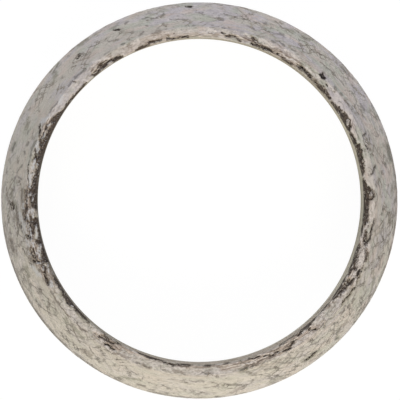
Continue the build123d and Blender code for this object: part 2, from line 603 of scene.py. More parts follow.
    skin_cuts: Marks = (
        (8.7, 174, 9.6, 176, 0.22), (9.6, 176.6, 11.2, 178.6, 0.16), (17.2, 177.2, 18, 176.4, 0.22),
        (18, 175.9, 21.6, 176, 0.08), (21.4, 176.6, 21.9, 179.2, 0.18), (12.2, 177.2, 15.2, 177.4, 0.07),
        (32.2, 177.2, 33.4, 177, 0.12), (33.9, 176.8, 34.4, 176.8, 0.12), (36.4, 177.7, 37.4, 177.5, 0.2),
        (39.2, 177, 40, 177, 0.1), (44.7, 174, 46, 174.9, 0.28), (45.6, 177.6, 46, 178.6, 0.12),
        (12, 195.9, 16, 195.7, 0.32), (57.2, 177.8, 58.6, 177.4, 0.14), (61.4, 176.6, 63.2, 176.6, 0.12),
        (64.7, 175.4, 65.8, 175.8, 0.17), (81.8, 174.6, 82.4, 174.4, 0.16), (91.2, 175.2, 92, 175, 0.12),
        (93, 174.2, 93.6, 176.4, 0.1), (101, 174.8, 101.6, 174.4, 0.1), (108.4, 177.4, 109.4, 176.8, 0.17),
        (115.2, 174.6, 116.6, 174.4, 0.18), (120.6, 174.2, 123, 174, 0.1), (130.9, 174, 133.2, 173.9, 0.2),
        (133.8, 174.4, 135.6, 174.8, 0.2), (137.4, 174.8, 138.8, 174.6, 0.16),
        (145.2, 174, 146.8, 173.8, 0.15), (147.4, 174, 149.6, 174, 0.12), (160, 174.3, 161.4, 174.2, 0.2),
        (161.8, 174.8, 163.4, 174.8, 0.15), (211.4, 174, 212.4, 174, 0.17),
        (213.4, 174.4, 215, 174.8, 0.12), (215.4, 175, 217, 174.9, 0.2), (217.6, 174.4, 222, 174.8, 0.09),
        (225.4, 174, 228.8, 173.6, 0.2), (248.8, 174, 250, 173.8, 0.14), (251.4, 174.3, 253.4, 173.8, 0.2),
        (257.8, 173.2, 259, 172.8, 0.12), (264.4, 174.6, 264.9, 172.8, 0.1),
        (271, 172.8, 272.6, 173.2, 0.14), (283.6, 174.5, 285.6, 174.5, 0.24),
        (287.4, 173.8, 289, 174.2, 0.12), (289.6, 172.2, 291.6, 172, 0.13),
        (313.2, 175.8, 315.6, 175.4, 0.12), (316, 175.8, 317.4, 176, 0.12),
        (317.6, 176.6, 319, 178.2, 0.15), (320, 171.4, 322.4, 171.2, 0.1), (347, 174.8, 349, 176.4, 0.11),
        (349, 176.4, 354, 176.2, 0.14), (357.2, 176.2, 359.6, 176.6, 0.1), (10.2, 190.4, 10.9, 190, 0.22),
        (8.1, 185, 9, 184.8, 0.22), (28.8, 188.2, 30.6, 188.4, 0.2), (36.2, 191.8, 37.2, 191.4, 0.17),
        (41, 194.6, 43, 194.8, 0.2), (50.3, 189.4, 51.4, 189.8, 0.2), (52.4, 187.6, 53.6, 187.4, 0.12),
        (56.6, 190.8, 58, 189.2, 0.12), (63.3, 185.6, 64.2, 185.4, 0.26), (69.3, 190, 70, 189.2, 0.22),
        (75.4, 187.9, 79, 187, 0.16), (80, 188.2, 82.4, 189, 0.12), (82.2, 182.2, 84.4, 183.2, 0.14),
        (84.4, 183.2, 88, 184.6, 0.1), (89, 187, 90, 187.2, 0.16), (92.2, 194.3, 94.2, 194.9, 0.26),
        (100.9, 191.2, 101.4, 190, 0.18), (105.2, 189.2, 107.6, 190.4, 0.12),
        (106.6, 181.6, 107.2, 182.6, 0.16), (112, 192.6, 112.9, 192, 0.22),
        (115, 189.4, 117.2, 191.6, 0.17), (116.4, 180.4, 120, 184.4, 0.12),
        (129, 188.4, 130.6, 188.2, 0.3), (136, 196.4, 138.6, 194.6, 0.14),
        (158.2, 185.2, 158.9, 184.6, 0.2), (161, 181.4, 162.6, 181.6, 0.14),
        (164.4, 181.7, 165, 181.3, 0.18), (163, 193.6, 165, 194.2, 0.2),
        (172.5, 182.6, 172.9, 180.4, 0.15), (172.4, 186.2, 177, 186.4, 0.12),
        (176.8, 177.6, 180, 177.4, 0.14), (180.9, 187.9, 182.2, 187.9, 0.34),
        (185.2, 183.4, 187.6, 183.8, 0.17), (187.9, 180.9, 188.7, 180.7, 0.2),
        (188.4, 183.6, 189.6, 183.6, 0.14), (192, 192.6, 194.6, 192.2, 0.3),
        (189.2, 192.4, 189.8, 191.6, 0.2), (197.6, 181.8, 198.8, 178.6, 0.12),
        (199.2, 180.6, 199.8, 177.4, 0.12), (200.2, 181.2, 200.7, 179, 0.12),
        (232.8, 183.2, 235.4, 186.2, 0.1), (251.6, 194, 253.6, 193.4, 0.22),
        (237.8, 176.6, 240.4, 175.6, 0.14), (237, 184.2, 239.4, 181.6, 0.09),
        (248, 184.6, 250, 185.2, 0.12), (260.3, 191.2, 260.9, 190.8, 0.18),
        (264.4, 190.2, 265.8, 190, 0.14), (283.5, 191.4, 284.3, 190.8, 0.26),
        (286.4, 182.2, 289.8, 186, 0.1), (291, 181.4, 294.8, 184, 0.12),
        (292.4, 191.4, 294.4, 191.8, 0.15), (296.6, 193.2, 299.4, 194.2, 0.15),
        (303.2, 192, 308, 192, 0.2), (304, 187.4, 306.4, 187.6, 0.12), (309, 191.4, 310.6, 189.4, 0.11),
        (306.4, 183.4, 312, 185.6, 0.09), (314.3, 194.6, 315, 194.4, 0.24),
        (315.6, 191.8, 316.4, 190, 0.15), (321, 181.6, 324, 181.4, 0.12), (324.2, 184.4, 325, 183.6, 0.2),
        (326, 184.6, 330, 182.4, 0.12), (323, 189.6, 323.6, 188, 0.14), (339, 192.8, 341.8, 191.4, 0.17),
        (341.8, 191.4, 343.8, 191, 0.2), (343.8, 191.2, 344, 192.8, 0.12), (341.4, 190.2, 342.8, 188, 0.1),
        (355.4, 182.6, 358.6, 184.6, 0.12), (300, 190, 301.4, 192.2, 0.1),
        (31.4, 183.4, 33.2, 187.6, 0.09), (33.2, 187.6, 35.6, 187.2, 0.09), (35.6, 187.2, 37, 182.4, 0.09),
        (38.4, 184.8, 44, 185.6, 0.09), (44, 185.6, 49, 183.6, 0.09), (21, 171.2, 26.4, 172.6, 0.08),
        (92.6, 181.4, 96.4, 182.2, 0.07), (96.4, 182.2, 99.6, 184.4, 0.08),
        (102.4, 187.2, 105.4, 189, 0.08), (62, 184.6, 69, 182.8, 0.07), (71, 180.4, 76, 181.6, 0.07),
        (183.6, 182, 188.4, 181.2, 0.1), (188.8, 181.4, 193.4, 177.6, 0.1),
        (168.6, 181.4, 171.6, 184.8, 0.09), (163.8, 174.6, 168, 174.8, 0.09),
        (181.4, 183, 185.2, 183.4, 0.11), (189.6, 179.8, 192, 175.4, 0.1), (195, 183.8, 197.6, 181.8, 0.1),
        (208, 185, 209.6, 182.4, 0.1), (212, 186.6, 215.2, 181.2, 0.08), (252, 190.2, 252.4, 184.6, 0.08),
        (267.4, 181, 271.8, 181.8, 0.1), (289.8, 186, 292.2, 190.2, 0.09),
        (338.2, 184.6, 339.8, 189.4, 0.1), (339.8, 189.4, 341.4, 190.2, 0.1),
        (347.8, 188.8, 349.6, 185.8, 0.11), (349.6, 185.8, 353.4, 186.4, 0.11),
        (344.2, 177.2, 345.2, 172.4, 0.1), (22.4, 180.2, 27.6, 181.4, 0.08), (2, 181.4, 6.4, 179.8, 0.1),
        (202, 163.6, 206.6, 163.8, 0.3), (173.8, 181, 174, 184, 0.08), (174.9, 180.6, 175.3, 183.6, 0.08),
        (176.2, 180.4, 176.8, 183, 0.08),
    )
    brown_streaks: Marks = (
        (0.8, 171.6, 3.6, 170.6, 0.3), (43.4, 165.8, 46.2, 167.2, 0.3), (44, 165.4, 49, 165.6, 0.36),
        (202.4, 164.4, 209.6, 166.4, 0.4), (206, 168, 210, 169, 0.3), (176, 166.6, 186, 168.6, 0.4),
        (48.4, 166, 55, 166.2, 0.34), (54.6, 167, 60.4, 166.4, 0.5), (55, 169, 60, 170.4, 0.3),
        (60, 167.4, 64.8, 166.2, 0.4), (72.4, 168.4, 76, 166.8, 0.36), (73, 169, 75, 170, 0.3),
        (78, 166.4, 81, 166.2, 0.22), (83, 166.6, 87.6, 165.2, 0.16), (100.8, 167.4, 104.4, 165.8, 0.3),
        (103.2, 173.8, 105.4, 173, 0.3), (112.8, 172, 114.6, 170, 0.3), (121.8, 165.6, 126.4, 168.8, 0.4),
        (127.2, 168.2, 131, 166, 0.3), (151.6, 168, 159, 168.6, 0.7), (152.8, 171.8, 158, 172.4, 0.4),
        (160.4, 167.6, 166, 168.2, 0.5), (166.4, 167, 169.6, 166.6, 0.3),
        (175.6, 171.6, 181.4, 174.6, 0.5), (176.8, 177.6, 180, 177.4, 0.2),
        (182, 174.2, 188.4, 173.4, 0.5), (187, 170, 192.8, 172.8, 0.5), (190.8, 175.6, 193, 173.8, 0.4),
        (188.6, 175.6, 191, 174.6, 0.3), (193.8, 170.4, 199.6, 172.4, 0.5),
        (195.6, 176.4, 201.6, 174.6, 0.5), (198.8, 179.2, 200.2, 176, 0.3),
        (202.8, 172.4, 205.4, 172.8, 0.34), (205.2, 174.8, 208, 174.4, 0.24),
        (213, 174.6, 222, 174.6, 0.16), (225, 173.8, 229.4, 173.6, 0.2), (232.4, 169.6, 238, 168.6, 0.5),
        (236, 171.4, 241.4, 168.4, 0.4), (237, 166, 241, 166, 0.3), (239, 175.2, 246, 172.2, 0.2),
        (242, 165.6, 246, 165.4, 0.26), (251, 174.2, 253.8, 173.8, 0.24),
        (254.4, 165.8, 256.6, 165.8, 0.26), (261.4, 171.6, 264, 171.8, 0.24),
        (262, 167.4, 270, 166.8, 0.16), (270, 166.6, 278, 167.2, 0.2), (279, 168, 284.6, 166.6, 0.3),
        (278.4, 170, 286.6, 170.6, 0.2), (284.4, 167.4, 292, 168.8, 0.32), (287, 173.2, 292, 171.6, 0.26),
        (289.8, 165, 293, 165.6, 0.26), (293, 172.4, 300.4, 171, 0.34), (295.6, 168.4, 300.2, 169.6, 0.36),
        (300, 171.4, 306, 169.8, 0.26), (300.4, 166, 309, 165.6, 0.34), (309.6, 172.6, 312.8, 174.8, 0.4),
        (321.4, 166.4, 330.4, 168.6, 0.4), (329.6, 166.6, 335.4, 168.8, 0.4),
        (333.8, 175.4, 337, 172.4, 0.3), (340, 178.2, 344, 175.4, 0.2), (343, 168.6, 346.8, 167, 0.44),
        (349.6, 168.4, 352.4, 167.2, 0.34), (191.8, 192.8, 194.8, 192, 0.5),
        (185, 183.6, 187.8, 183.4, 0.3), (279.6, 195, 283.2, 191.4, 0.3),
        (251.4, 193.8, 253.8, 193.6, 0.3), (232.4, 190.4, 234.6, 189.8, 0.5),
        (318.8, 190.8, 320.4, 191.2, 0.3),
    )
    clean_flakes: Marks = (
        (2.2, 173.6, 3, 172.8, 0.1), (1.8, 171.4, 2.8, 171.6, 0.1), (184, 180.6, 189.6, 180.2, 0.12),
        (190, 179.4, 194.6, 176.8, 0.14), (7, 166.6, 8.8, 167, 0.16), (19.6, 171.4, 20.4, 169.4, 0.17),
        (27.2, 165.8, 28.6, 168.4, 0.2), (49, 170.2, 52, 170.4, 0.17), (56, 173.4, 60, 174, 0.3),
        (55.2, 168.6, 59.6, 167.4, 0.1), (65, 172, 69, 173, 0.26), (73.2, 171.8, 74.6, 172.8, 0.22),
        (84.6, 170, 87, 171, 0.3), (111.2, 171.4, 113.2, 171, 0.28), (122.4, 168.2, 124.2, 170.4, 0.17),
        (122, 164, 123.6, 164.2, 0.12), (125.2, 172.4, 127.4, 173.8, 0.2), (143, 172.6, 145, 170.6, 0.36),
        (151, 172.8, 153.8, 176.4, 0.26), (153, 168, 154, 169.6, 0.14), (156.4, 168.6, 157.8, 168.2, 0.13),
        (157.8, 169.6, 158.8, 169, 0.12), (160.4, 172.2, 162.4, 170.4, 0.26),
        (162, 168.8, 163.6, 169.2, 0.13), (167.2, 165.4, 168.2, 165.2, 0.12),
        (171.2, 171.2, 175.4, 170.2, 0.24), (166.4, 168.8, 169, 168.6, 0.2), (177, 168, 178, 168.4, 0.13),
        (182.8, 170.2, 186.2, 171.8, 0.17), (183, 167.4, 185.6, 165.8, 0.17),
        (184.4, 173.6, 186.6, 174.2, 0.08), (187.8, 172.4, 189.4, 173.4, 0.08),
        (190.4, 174.6, 192.2, 173.8, 0.08), (194, 169.6, 195, 170.8, 0.08),
        (198.8, 172.8, 200, 173.8, 0.08), (202.4, 170.8, 204, 171.6, 0.08),
        (179.4, 171.4, 181, 172.2, 0.08), (177.6, 170, 178.6, 171, 0.08),
        (180.6, 175.8, 182.6, 176.4, 0.08), (186.4, 176.8, 189, 176, 0.08),
        (192.6, 177.6, 194.6, 176.4, 0.08), (196, 178.4, 198, 176.8, 0.08),
        (346.4, 165.6, 347.6, 166, 0.12), (348.8, 168.4, 350, 167.6, 0.12), (178.8, 167, 180, 166.4, 0.08),
        (184, 179, 190.6, 175.6, 0.2), (188.8, 165, 192.8, 166.6, 0.18),
        (189.4, 170.6, 192.4, 171.8, 0.14), (193.4, 175, 195.2, 176.4, 0.16),
        (193.2, 172, 195.6, 171.6, 0.2), (195.4, 165.4, 197, 166.8, 0.2),
        (197.2, 170.2, 198.2, 170.8, 0.15), (198.8, 169, 200.2, 169.8, 0.17),
        (200.6, 175.4, 201.4, 172.4, 0.14), (196.4, 167.6, 198.4, 168.4, 0.18),
        (201, 180, 205, 176.4, 0.3), (203, 165, 205.4, 166.2, 0.16), (208.6, 169.6, 210, 170.4, 0.24),
        (219.2, 165.6, 220.2, 165, 0.14), (231, 166, 233, 167.4, 0.24), (237.2, 174.4, 240, 174.6, 0.18),
        (234.4, 171.4, 236, 170.2, 0.16), (261.6, 168.8, 265, 167.6, 0.12),
        (261.4, 163.2, 262.4, 163, 0.1), (264, 163.2, 265.4, 163, 0.1), (284.6, 169.4, 289, 170.8, 0.12),
        (280, 167.2, 283, 166.2, 0.09), (288.4, 165.2, 291.8, 166.6, 0.1), (293, 167.4, 295.6, 169, 0.14),
        (296.4, 175.4, 299.4, 177, 0.16), (309.2, 174.4, 310.4, 174.8, 0.15),
        (307.8, 168.6, 309.4, 167.6, 0.16), (322, 167, 323.2, 167, 0.12),
        (325.4, 169.4, 326.2, 169.2, 0.1), (326.8, 171.4, 328, 172, 0.16),
        (331.6, 167.2, 332.8, 167, 0.18), (333.6, 170, 335, 171.4, 0.18), (331.4, 176, 334, 175.2, 0.24),
        (336.2, 167, 337.4, 166.6, 0.14), (337.6, 173.2, 342.8, 170.2, 0.6),
        (338.2, 175.2, 341.6, 173.2, 0.36), (345.2, 168, 346.8, 166.4, 0.26),
        (347.4, 167.4, 348.6, 166.8, 0.17), (350.2, 169.2, 352, 169.8, 0.2),
        (344, 176.6, 345.4, 175.6, 0.24), (329.4, 166.2, 330.4, 165.4, 0.14),
    )
    olive_smudges: Marks = (
        (2.8, 193.6, 4.4, 193.2, 0.4), (11.8, 196.2, 16.4, 196.2, 0.7), (15.6, 193.6, 16.4, 192.8, 0.4),
        (42, 195, 43, 194.6, 0.4), (56, 194.4, 57.6, 193.8, 0.5), (61, 194, 63, 191.6, 0.4),
        (101, 190.8, 101.4, 188.8, 0.3), (115.4, 194.4, 117, 193.6, 0.4), (125, 196.8, 128, 196.8, 0.4),
        (136, 196.4, 138.6, 194.4, 0.4), (139, 191.6, 141, 188.6, 0.4), (154.4, 189.8, 157, 187, 0.36),
        (163, 193.8, 165, 193.8, 0.4), (166.2, 170.6, 168, 170.2, 0.2), (178, 188, 182, 184, 0.4),
        (201, 185.4, 204, 188, 0.36), (221, 179.6, 230, 180, 0.26), (224.6, 180.2, 226, 180, 0.3),
        (283.4, 174.5, 285.8, 174.5, 0.4), (246, 193.4, 252, 189, 0.26), (277, 186.4, 281, 187.4, 0.24),
        (291, 196, 294.6, 195.2, 0.4), (303, 192.2, 308, 191.8, 0.4), (315, 195.2, 317, 189, 0.3),
        (324.4, 177.4, 330, 177.6, 0.3), (333, 193.8, 338, 189.4, 0.3), (353.4, 192.4, 356, 190.8, 0.4),
        (84, 165.2, 89, 164.4, 0.2), (89, 164.2, 93.4, 164, 0.2), (213, 165.2, 225.6, 165.6, 0.36),
        (12.2, 195.6, 16, 195.6, 0.5), (300.4, 164.6, 308, 164.2, 0.2), (321, 164.8, 328, 165.2, 0.3),
    )
    # Dark marks along the outline: some real scuffs, and a dark line of painted shade where the outline turns
    # away from the light
    edge_scuffs_and_shade: Marks = (
        (12, 197.2, 16.4, 197.2, 0.5), (76, 197.4, 79.2, 197.4, 0.3), (80.6, 197.6, 82.8, 197.6, 0.3),
        (198, 197.4, 206.6, 197.4, 0.4), (214.4, 197.4, 219.6, 197.4, 0.4),
        (225.4, 197.3, 234.6, 197.4, 0.5), (125, 197.4, 127.6, 197.4, 0.3),
        (330.6, 197.4, 334, 197.4, 0.3), (292, 197.4, 293.4, 197.4, 0.3), (206, 197.2, 214, 197.2, 0.5),
        (219.6, 197.2, 225.4, 197.2, 0.45), (234.6, 197.3, 246, 197.3, 0.4),
        (336, 197.4, 347, 197.4, 0.34), (350, 197.3, 360, 197.3, 0.4), (1, 197.3, 10, 197.3, 0.4),
        (189, 197.6, 195, 197.6, 0.2), (24, 197.6, 33, 197.6, 0.2), (255, 197.5, 283, 197.5, 0.3),
    )
    deep_pits: Marks = (
        (44.9, 174.1, 45.7, 174.7, 0.27), (45.7, 177.8, 45.9, 178.2, 0.12),
        (92.6, 194.3, 93.8, 194.7, 0.25), (129.4, 188.4, 130.3, 188.2, 0.23),
        (181.2, 187.9, 182, 187.9, 0.3), (334.8, 176.2, 336.2, 173.8, 0.2),
        (115.2, 189.6, 117, 191.4, 0.08),
    )
    grain_lines: Marks = (
        (262, 166.4, 268, 165.8, 0.25), (268, 166, 277, 166.2, 0.16), (278, 168.4, 288, 168.6, 0.6),
        (286, 169.4, 301, 169.4, 0.7), (286, 172.4, 300, 172.6, 0.36), (186, 173.6, 201, 174.6, 0.36),
        (176, 171.4, 184, 172.6, 0.5), (188, 170.4, 200, 171.6, 0.4), (320, 165, 328, 165.6, 0.34),
        (329, 167, 336, 167.6, 0.4), (330, 174.6, 344, 176, 0.26), (344, 166.2, 351, 166.4, 0.34),
        (66, 168.4, 84, 166.8, 0.26), (84, 165, 94, 164.6, 0.2), (100, 166, 109, 165.8, 0.28),
        (88, 167.4, 98, 166.4, 0.14), (244, 162.8, 262, 163, 1.2), (262, 162.9, 282, 163, 1.5),
        (282, 163, 304, 163.2, 1.5), (304, 163.2, 322, 163.2, 1.3), (231.6, 168.4, 241, 168, 0.45),
        (241, 165.8, 252, 165.6, 0.22), (300, 165.8, 312, 166, 0.34), (304, 169, 312, 171, 0.4),
        (121.6, 167.6, 129, 167, 0.5), (151.4, 170.4, 158.4, 170.6, 0.36), (54.6, 166.2, 64, 166, 0.6),
        (203, 172.6, 206, 173, 0.3),
    )
    # Near the outline, by angle: wear, and painted shade where the outline is darkest, at the right and lower
    # left
    edge_wear_and_shade: Shares = (
        (0, 0.9), (15, 0.8), (30, 0.4), (50, 0.15), (140, 0.15), (170, 0.35), (190, 0.5), (202, 1),
        (214, 1), (226, 1), (240, 0.7), (260, 0.4), (290, 0.35), (310, 0.4), (326, 0.8), (345, 0.9),
    )
    # Reaches are largest on the left: torn pockets, and partly painted shade on the upper bore wall that
    # faces away from the light
    band_reach: Shares = (
        (0, 1.2), (12, 1.3), (30, 1.4), (45, 1.2), (60, 0.8), (75, 0.4), (95, 0.4), (106, 1.4), (114, 1.8),
        (160, 2.2), (200, 2.4), (226, 1.8), (240, 0.6), (262, 0.2), (280, 0.4), (300, 0.8), (325, 0.8),
        (345, 0.6),
    )
    nose_wear: Shares = (
        (0, 0.35), (20, 0.15), (40, 0.15), (55, 0.8), (62, 0.75), (75, 0.4), (90, 0.15), (105, 0.4),
        (115, 0.45), (125, 0.55), (140, 0.25), (152, 0.65), (165, 0.6), (178, 0.95), (192, 1), (205, 1),
        (211, 0.65), (215, 0.35), (228, 0.25), (236, 0.85), (246, 0.45), (256, 0.5), (268, 0.55),
        (280, 0.6), (296, 0.7), (310, 0.7), (318, 0.55), (330, 0.9), (344, 0.95), (352, 0.7),
    )
    # Painted shade in the bore, listed by angle: darkest on the left wall, which faces away from the light
    bore_shade_by_angle: Shares = (
        (0, 0), (20, 0.15), (32, 0.4), (45, 0.6), (70, 0.65), (95, 0.6), (115, 0.6), (135, 0.7),
        (160, 0.9), (205, 0.95), (225, 0.75), (240, 0.6), (255, 0.55), (275, 0.46), (292, 0.4), (312, 0.3),
        (330, 0.1), (345, 0),
    )
    seat_marks: Shares = (
        (0, 0.85), (30, 1), (48, 0.65), (65, 0.6), (90, 0.6), (120, 0.5), (140, 0.4), (165, 0.35),
        (180, 1), (215, 0.85), (240, 0.8), (262, 0.65), (280, 0.65), (296, 1), (330, 1), (345, 0.9),
    )


@dataclass
class PressedSkin:
    """The ring's skin: a closed grid round the ring and round its section.

    Depths, reaches and the highest lift are in millimetres. Two noises sway the marks,
    along the ring and across it.
    """

    section: RingSection
    view: TopView
    wear: Wear
    columns: int = 1020
    inset: float = 0.05
    tear_depth: float = 0.4
    cut_depth: float = 0.08
    highest: float = 0.02
    fade: float = 0.3
    narrowing: float = 0.2
    wire_reach: float = 0.32
    sway_along: Noise = Noise(0.2, 1.1, 63)
    sway_across: Noise = Noise(0.2, 1.1, 73)
    swell: Noise = Noise(0.035, 4.5, 31)
    grain: Noise = Noise(0.02, 0.9, 41, 2)
    roughness: Noise = Noise(0.45, 0.8, 51, 2)
    ragged_end: Noise = Noise(1.1, 1.6, 83, 4)
    broken_edge_marks: Noise = Noise(1.0, 1.2, 91)

    def __post_init__(self) -> None:
        """Works out the grid and its relief, which the wire is laid on too."""
        self.across = self.section.row_places()
        ends = self.section.zone_ends()
        self.length = ends[Zone.HIGH_BORE][1]
        self.angle = np.linspace(0, 2 * np.pi, self.columns, endpoint=False)
        self.radius, self.height, self.out, self.up = self.section.at(self.across)
        self.places = around(self.angle[:, None], self.radius[None, :], self.height[None, :])
        self.signed = np.where(self.across >= ends[Zone.HEEL][0], self.across - self.length, self.across)
        self.flat = self.view.flat(self.signed)
        self.wire = np.zeros(self.places.shape[:2])
        self.aside, self.off = self.sway_along.at(self.places), self.sway_across.at(self.places)
        self.tones = self.work_out_tones()
        self.lift = self.work_out_lift()

    def stroke_field(self, marks: Marks) -> Array:
        """The closeness of each grid point to the nearest stroke.

        It is 1 on a stroke's middle line, a half at its half width, and 0 at twice
        that. Distances are taken as the photograph sees them, and noise bends the
        strokes, because no tear or scratch is straight.

        Args:
            marks: the strokes.

        Returns:
            The closeness for each column and row.
        """
        closest = np.zeros(self.places.shape[:2])
        for angle_a, seen_a, angle_b, seen_b, half_width in marks:
            start, way_a = self.view.place(angle_a, seen_a)
            end, way_b = self.view.place(angle_b, seen_b)
            turn = np.mod(end - start + np.pi, 2 * np.pi) - np.pi
            scale = self.section.bore_radius
            if way_a > 0:
                scale = float(np.interp(way_a, self.across, self.radius))
            low, high = self.view.flat(np.array([way_a, way_b]))
            gone = (np.mod(self.angle - start + np.pi, 2 * np.pi) - np.pi) * scale
            margin = 2 * half_width + 2 * self.sway_along.strength
            first, last = min(turn, 0) * scale - margin, max(turn, 0) * scale + margin
            near = np.flatnonzero((gone > first) & (gone < last))
            x, y = gone[near, None] + self.aside[near], self.flat[None, :] - low + self.off[near]
            run, rise = turn * scale, high - low
            along = np.clip((x * run + y * rise) / max(run**2 + rise**2, 1e-6), 0, 1)
            gap = np.hypot(x - along * run, y - along * rise)
            closest[near] = np.maximum(closest[near], 1 - 0.5 * gap / half_width)
        return closest

    def band_field(self, bands: Sequence[Band]) -> Array:
        """How deep each grid point lies in the bands along the rim.

        It is a half on a band's edge and rises inwards by 1 over twice the fade. The
        edges run from one of the band's points to the next, and noise bends them. A
        band gets shorter down the bore, by the narrowing times the way down at each end.

        Args:
            bands: the bands.

        Returns:
            The depth, from 0 to 1, for each column and row.
        """
        deepest = np.zeros(self.places.shape[:2])
        margin = 0.03
        angles, reaches = np.array(self.wear.band_reach).T
        for band in bands:
            more = np.interp([angle for angle, _, _ in band], angles, reaches, period=360)
            inner = np.array([self.view.place(angle, max(low - reach, self.view.innermost))
                              for (angle, low, _), reach in zip(band, more)])
            outer = np.array([self.view.place(angle, high) for angle, _, high in band])
            turns = [np.unwrap(edge[:, 0]) for edge in (inner, outer)]
            middle = (turns[0][0] + turns[0][-1]) / 2
            place = np.mod(self.angle - middle + np.pi, 2 * np.pi) - np.pi + middle
            first, last = turns[0][0] - margin, turns[0][-1] + margin
            near = np.flatnonzero((place > first) & (place < last))
            bent = place[near, None] + self.aside[near] / self.section.bore_radius
            level = self.flat[None, :] + 0.7 * self.off[near]
            low = np.interp(bent, turns[0], self.view.flat(inner[:, 1]))
            high = np.interp(bent, turns[1], self.view.flat(outer[:, 1]))
            past = np.maximum(turns[0][0] - bent, bent - turns[0][-1]) * self.section.bore_radius
            past = past + self.narrowing * np.maximum(-self.signed, 0)
            depth = np.minimum(np.minimum(level - low, high - level), -past)
            deepest[near] = np.maximum(deepest[near], np.clip(0.5 + depth / (2 * self.fade), 0, 1))
        return deepest

    def work_out_tones(self) -> Array:
        """The closeness to the marks of each tone.

        The torn bands end 1 to 2 mm down the bore, along a ragged line of noise, and
        noise breaks the dark line at the outline, scuffs and painted shade, into patches. A pit is torn and
        cut.

        Returns:
            The closeness for each column and row, with the tones in their own order.
        """
        wear = self.wear
        torn = np.maximum(self.band_field(wear.rim_bands), self.stroke_field(wear.torn_streaks))
        torn = torn * eased(self.signed + self.ragged_end.at(self.places), -2.5, -0.7)
        # Dark line at the outline, scuffs and painted shade, broken into patches
        broken = eased(self.broken_edge_marks.at(self.places), -0.7, 0.1)
        outline_marks_and_shade = self.stroke_field(wear.edge_scuffs_and_shade) * broken
        cuts = np.maximum(self.stroke_field(wear.skin_cuts), outline_marks_and_shade)
        pits = np.minimum(1.5 * self.stroke_field(wear.deep_pits), 1)
        return np.stack([np.maximum(torn, pits), np.maximum(cuts, pits),
                         self.stroke_field(wear.brown_streaks),
                         self.stroke_field(wear.clean_flakes)], axis=-1)

    def on_nose(self) -> Array:
        """The share of the nose in each row."""
        end = self.section.zone_ends()[Zone.NOSE][1]
        return eased(self.signed, -0.1, 0.3) * (1 - eased(self.signed, end + 0.1, end + 0.5))

    def flow(self) -> Array:
        """Places to read noise at, drawn out along the ring, most of all on the nose.

        Returns:
            x, y and z for each column and row, in millimetres.
        """
        end = self.section.zone_ends()[Zone.NOSE][1]
        share = eased(self.signed, -1.5, 0.0) * (1 - eased(self.signed, end - 0.5, end + 3.5))
        share = share[None, :, None]
        return drawn_out(self.places, 1.4) * (1 - share) + drawn_out(self.places, 1.8) * share

    def by_angle(self, shares: Shares) -> Array:
        """Spreads shares that are listed by angle over the columns, as one column of rows."""
        return np.interp(np.degrees(self.angle), *np.array(shares).T, period=360)[:, None]

    def zones(self) -> Array:
        """Where the skin is nose, bore or worn, with painted shade near the outline, and how close wire lies.

        Returns:
            The four shares for each column and row.
        """
        ends = self.section.zone_ends()
        on_nose = self.on_nose()
        in_bore = 1 - eased(self.signed, -0.8, -0.1)
        near_edge = eased(self.signed, ends[Zone.LOW_SEAT][1] - 1.6, ends[Zone.LOW_SEAT][1] - 0.4)
        wear_and_edge_shade = self.by_angle(self.wear.nose_wear) * np.maximum(on_nose, 0.35 * eased(-self.flat, -9.5, -7.5))
        # Adds wear and painted shade near the outline
        wear_and_edge_shade = np.maximum(wear_and_edge_shade, self.by_angle(self.wear.edge_wear_and_shade) * near_edge)
        full = np.ones(self.places.shape[:2])
        wire = np.minimum(self.wire * self.by_angle(self.wear.seat_marks), 1)
        return np.stack([full * on_nose, full * in_bore, wear_and_edge_shade, wire], axis=-1)

    def smears(self) -> Array:
        """Where olive smudges, grain and the bore's painted shade lie, and which side looks cool.

        The painted shade's share is listed by angle and only lies in the bore. It darkens
        the bore wall most on the left, at -X, where that wall faces away from the light. The
        cool side is the left of the frame, at -X, where the flakes look bluish.

        Returns:
            The four shares for each column and row.
        """
        full = np.ones(self.places.shape[:2])
        in_bore = 1 - eased(self.signed, -0.6, 0.0)
        cool = eased(-self.places[..., 0], 17.0, 25.0) * full
        return np.stack([self.stroke_field(self.wear.olive_smudges), self.stroke_field(self.wear.grain_lines),
                         self.by_angle(self.wear.bore_shade_by_angle) * in_bore, cool], axis=-1)

    def work_out_lift(self) -> Array:
        """How far the skin stands off the section at each place, mostly inwards.

        It is the inset, long swells and short grain, both of noise, and the hollows of
        the tears and cuts, whose depth is the paint's strength times a depth that
        noise varies. Clean flakes stand up out of the hollows. The bore and the edges
        of the outline are smoother, because the die held them.

        Returns:
            Millimetres along the outward normal, for each column and row.
        """
        ends = self.section.zone_ends()
        edge = ends[Zone.LOW_SEAT][1]
        swell = self.swell.at(drawn_out(self.places, 1.6))
        grain = self.grain.at(drawn_out(self.places, 1.8))
        rough = 0.75 + self.roughness.at(drawn_out(self.places, 2.5))
        tears, cuts, _, flakes = np.moveaxis(self.tones, -1, 0)
        flakes = eased(flakes, 0.4, 0.7)
        depth = np.maximum(self.tear_depth * rough * eased(tears, 0.4, 0.8),
                           self.cut_depth * eased(cuts, 0.4, 0.9))
        depth = depth * eased(self.signed, -0.9, -0.2)[None, :]
        calm = np.where(self.signed < -0.6, 0.1, np.where(self.signed > edge - 1.5, 0.3, 1.0))
        lift = np.minimum((swell + grain) * calm[None, :], self.highest)
        lift = lift - depth * (1 - 0.85 * flakes) + self.highest * flakes
        flat = np.minimum(1, eased(np.abs(self.up + 1), 0.0, 0.02) + 0.3)
        levels = [-0.6, 0.0, ends[Zone.HIGH_SEAT][1], edge]
        inset = self.inset * np.interp(self.signed, levels, [0.0, 1.0, 1.0, 0.5])
        return np.minimum(lift * flat[None, :] - inset[None, :], 0.0)

